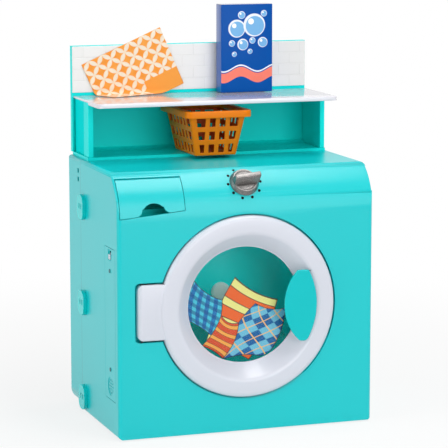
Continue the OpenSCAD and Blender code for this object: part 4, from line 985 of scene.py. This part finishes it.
def cloth_colour(tree):
    """Cream petals on orange. The cells of a square lattice, turned by 45 degrees, hold two
    crossed petals: each is where the circles about two opposite cell sides overlap."""
    place, p, q = flat_map(tree)
    pitch = PETAL_STEP * math.sqrt(2)
    a, b = (calc(tree, "PINGPONG", calc(tree, "DIVIDE", calc(tree, how, p, q), pitch), 0.5)
            for how in ("ADD", "SUBTRACT"))
    near = calc(tree, "MINIMUM", *(squares(tree, calc(tree, "SUBTRACT", one, 1.0), two)
                                   for one, two in ((a, b), (b, a))))
    petal = fall(tree, near, 0.485, 0.51)
    vein = between(tree, near, 0.40, 0.415, 0.43, 0.445)
    dye = add(tree, "ShaderNodeTexNoise", Vector=place, Scale=0.05)
    ground = blendc(tree, ease(tree, dye, 0.35, 0.65), srgb(240, 150, 56), srgb(242, 162, 72))
    colour = blendc(tree, petal, ground, srgb(238, 226, 206))
    colour = blendc(tree, calc(tree, "MULTIPLY", vein, 0.35), colour, srgb(232, 186, 124))
    bare = calc(tree, "MULTIPLY", *(ease(tree, k, edge - 0.5, edge + 0.5)
                                    for k, edge in ((p, LONG - 58), (q, WIDE - 30))))
    return blendc(tree, bare, colour, srgb(241, 158, 66))


def weave(tree, shader, skin):
    """Threads as a bump: two fine waves at right angles on the cloth's own flat map."""
    threads = (calc(tree, "SINE", calc(tree, "MULTIPLY", k, 9.0)) for k in flat_map(tree)[1:])
    bump = add(tree, "ShaderNodeBump", Strength=0.25, Distance=0.00008,
               Height=calc(tree, "ADD", *threads), Normal=skin.outputs["normal"])
    tree.links.new(bump, shader.inputs["Normal"])
    shader.inputs["Sheen Weight"].default_value = 0.1


cloth_mat = plastic("petal cloth", cloth_colour, gloss=0.7, peel=0.1, cloud=0.0, rubs=0.0,
                    specular=0.2, extra=weave)
cloth = piece("petal_cloth", (grid.reshape(-1, 3), quads.tolist()), "sheet", cloth_mat,
              ["dryer_sheet"], uv=np.stack([u, v], -1).reshape(-1, 2))
thicken(cloth, 0.0005, 0)

# %% [markdown]
# ## Clothes on the window film
# Behind the window lies a clear film with printed clothes, so the real drum shows above them.
# Each printed piece is a patch between four curved edges, blended as a Coons patch:
# S = (1 - v) bottom + v top + (1 - u) left + u right - the four corners' blend. Its pattern
# follows u and v, so stripes bend with the cloth.

# %% Patches
STEPS, WINDOW_R = 26, 86.8      # points along each edge, and how far a patch may reach
FILM_Y, LAYER = 21.95, 0.05     # the first patch's depth, and how far apart patches lie


def curved(a, b, bulge, t):
    """A line from a to b that swells sideways: its middle moves by bulge along the normal."""
    a, b = np.asarray(a, float), np.asarray(b, float)
    side = np.array([b[1] - a[1], a[0] - b[0]]) / np.linalg.norm(b - a)
    return a + (b - a) * t[..., None] + side * (bulge * 4 * t * (1 - t))[..., None]


def patch(corners, bulges, layer):
    """A Coons patch: its points and faces, its flat map in millimetres and its size. Nothing
    reaches past the window."""
    A, B, C, D = (np.asarray(c, float) for c in corners)
    t = np.linspace(0, 1, STEPS)
    low, right = curved(A, B, bulges[0], t)[None], curved(B, C, bulges[1], t)[:, None]
    top, left = curved(D, C, bulges[2], t)[None], curved(A, D, bulges[3], t)[:, None]
    u, v = np.meshgrid(t, t)
    U, V = u[..., None], v[..., None]
    flat = ((1 - V) * low + V * top + (1 - U) * left + U * right
            - ((1 - U) * (1 - V) * A + U * (1 - V) * B + U * V * C + (1 - U) * V * D))
    away = np.linalg.norm(flat, axis=-1, keepdims=True)
    flat *= np.minimum(1, WINDOW_R / np.maximum(away, 1e-6))
    points = np.stack([flat[..., 0], 0 * u + FILM_Y - LAYER * layer, DOOR_Z + flat[..., 1]], -1)
    quads = grid_quads(np.arange(u.size).reshape(u.shape))
    size = (np.linalg.norm(B - A), np.linalg.norm(D - A))
    return points.reshape(-1, 3), quads.tolist(), np.stack([u * size[0], v * size[1]], -1), size


def edged(tree, p, q, size, colour):
    """Darkens the last millimetre along all four edges, as a drawn outline."""
    lines = [calc(tree, "MAXIMUM", fall(tree, k, 0.7, 1.3),
                  ease(tree, k, wide - 1.3, wide - 0.7)) for k, wide in zip((p, q), size)]
    return blendc(tree, calc(tree, "MAXIMUM", *lines), colour, srgb(58, 40, 48))


def printed(name, size, kind, first, second, third, pitch):
    """Stripes, gingham or argyle, on the patch's own flat map."""
    def colour(tree):
        _, p, q = flat_map(tree)
        wp, wq = (calc(tree, "PINGPONG", calc(tree, "DIVIDE", k, pitch), 0.5) for k in (p, q))
        if kind == "stripes":
            found = blendc(tree, ease(tree, wq, 0.29, 0.31), first, second)
            drawn = between(tree, wq, 0.27, 0.28, 0.31, 0.32)
            found = blendc(tree, drawn, found, third)
        elif kind == "gingham":
            found = blendc(tree, ease(tree, wp, 0.23, 0.27), first, second)
            across = calc(tree, "MULTIPLY", ease(tree, wq, 0.23, 0.27), 0.6)
            found = blendc(tree, across, found, third)
        else:
            lozenge = calc(tree, "ADD", wp, wq)
            found = blendc(tree, ease(tree, lozenge, 0.47, 0.53), first, second)
            thin = calc(tree, "ABSOLUTE", calc(tree, "SUBTRACT", wp, wq))
            found = blendc(tree, fall(tree, thin, 0.02, 0.05), found, third)
        return edged(tree, p, q, size, found)
    return plastic(name, colour, gloss=0.4, peel=0.1, cloud=0.03, rubs=0.0, specular=0.3)


INK_LINE = srgb(64, 40, 44)
GARMENTS = [
    ("print_towel", [(-60, -60), (10, -86), (56, 4), (-12, 42)], [-4, 5, 6, -5], "stripes",
     srgb(240, 100, 26), srgb(240, 234, 140), INK_LINE, 30.0),
    ("print_shirt", [(-88, -20), (-46, -50), (-32, 8), (-76, 40)], [-3, 4, 5, -6], "gingham",
     srgb(70, 196, 218), srgb(22, 116, 182), srgb(14, 60, 128), 12.0),
    ("print_scarf", [(-34, -84), (36, -84), (68, -10), (20, 0)], [-6, 8, 5, -8], "argyle",
     srgb(20, 96, 160), srgb(110, 190, 218), srgb(244, 190, 110), 36.0),
    ("print_sock", [(-66, -60), (-32, -82), (-6, -28), (-34, -14)], [-3, 6, 6, 4], "stripes",
     srgb(220, 74, 26), srgb(248, 170, 70), INK_LINE, 14.0),
]
# the first of them stands for the whole film
for layer, (name, corners, bulges, *look) in enumerate(GARMENTS):
    points, quads, flat, size = patch(corners, bulges, layer)
    made = piece(name, (points, quads), "door", printed(name, size, *look),
                 ["laundry_print"] if layer == 0 else (), uv=flat.reshape(-1, 2))
    thicken(made, 0.00003, 0)

# %% [markdown]
# ## Ground and light
# A plain pale floor and a white world. What the camera, metal and glass see of the floor is
# lifted towards white, while its own shading stays in it, so a soft contact shadow remains.
# The lamps stand above, to the left and in front, as round a product table.

# %% Floor and world
REACH = 9
floor = bpy.data.meshes.new("floor")
floor.from_pydata([(-REACH, -REACH, 0), (REACH, -REACH, 0), (REACH, REACH, 0),
                   (-REACH, REACH, 0)], [], [(0, 1, 2, 3)])
ground = bpy.data.objects.new("floor", floor)
scene.collection.objects.link(ground)
floor_mat = bpy.data.materials.new("floor")
floor_mat.use_nodes = True
tree = floor_mat.node_tree
matt = tree.nodes["Principled BSDF"]
fill(tree, matt, {"Base Color": (0.86, 0.86, 0.86, 1), "Roughness": 0.8,
                  "Specular IOR Level": 0.1})


def seen_directly(tree, amount, rest):
    """rest for the rays that carry light, and rest + amount for those that only look."""
    path = add(tree, "ShaderNodeLightPath", out=None).outputs
    seen = calc(tree, "MAXIMUM", path["Is Camera Ray"], path["Is Glossy Ray"])
    seen = calc(tree, "MAXIMUM", seen, path["Is Transmission Ray"])
    return calc(tree, "MULTIPLY_ADD", seen, amount, rest)


glow = add(tree, "ShaderNodeEmission", Color=(1, 1, 1, 1), Strength=1.0)
from_middle = add(tree, "ShaderNodeVectorMath", object_place(tree), out=1,
                  setup={"operation": "LENGTH"})
lift = calc(tree, "MULTIPLY", seen_directly(tree, 1.0, 0.0),
            ease(tree, from_middle, 0.3, 1.3, 0.8, 1.0))
both = add(tree, "ShaderNodeMixShader", lift, matt.outputs[0], glow)
tree.links.new(both, tree.nodes["Material Output"].inputs["Surface"])
floor.materials.append(floor_mat)
world = bpy.data.worlds.new("studio")
scene.world = world
world.use_nodes = True
tree = world.node_tree
fill(tree, tree.nodes["Background"], {"Color": (1, 1, 1, 1),
                                      "Strength": seen_directly(tree, 0.72, 0.28)})
scene.view_settings.view_transform = "Standard"
print("floor and world ready")

# %% Lamps


def lamp(name, place, aim, size, watts):
    """A rectangular lamp at a place, turned to look at its aim."""
    data = bpy.data.lights.new(name, "AREA")
    data.shape, data.size, data.size_y, data.energy = "RECTANGLE", *size, watts
    made = bpy.data.objects.new(name, data)
    made.location = place
    way = np.array(aim, float) - place
    made.rotation_euler = (math.atan2(math.hypot(way[0], way[1]), -way[2]), 0,
                           math.atan2(way[1], way[0]) - math.pi / 2)
    scene.collection.objects.link(made)


lamp("top", (0.5, -0.5, 2.4), (0.5, -0.499, 0.3), (0.8, 1.9), 33)
lamp("left", (-2.6, -0.4, 1.1), (0, 0, 0.3), (1.6, 1.6), 31)
lamp("front", (0.5, -3.1, 1.1), (0, 0, 0.3), (2.0, 2.0), 40)
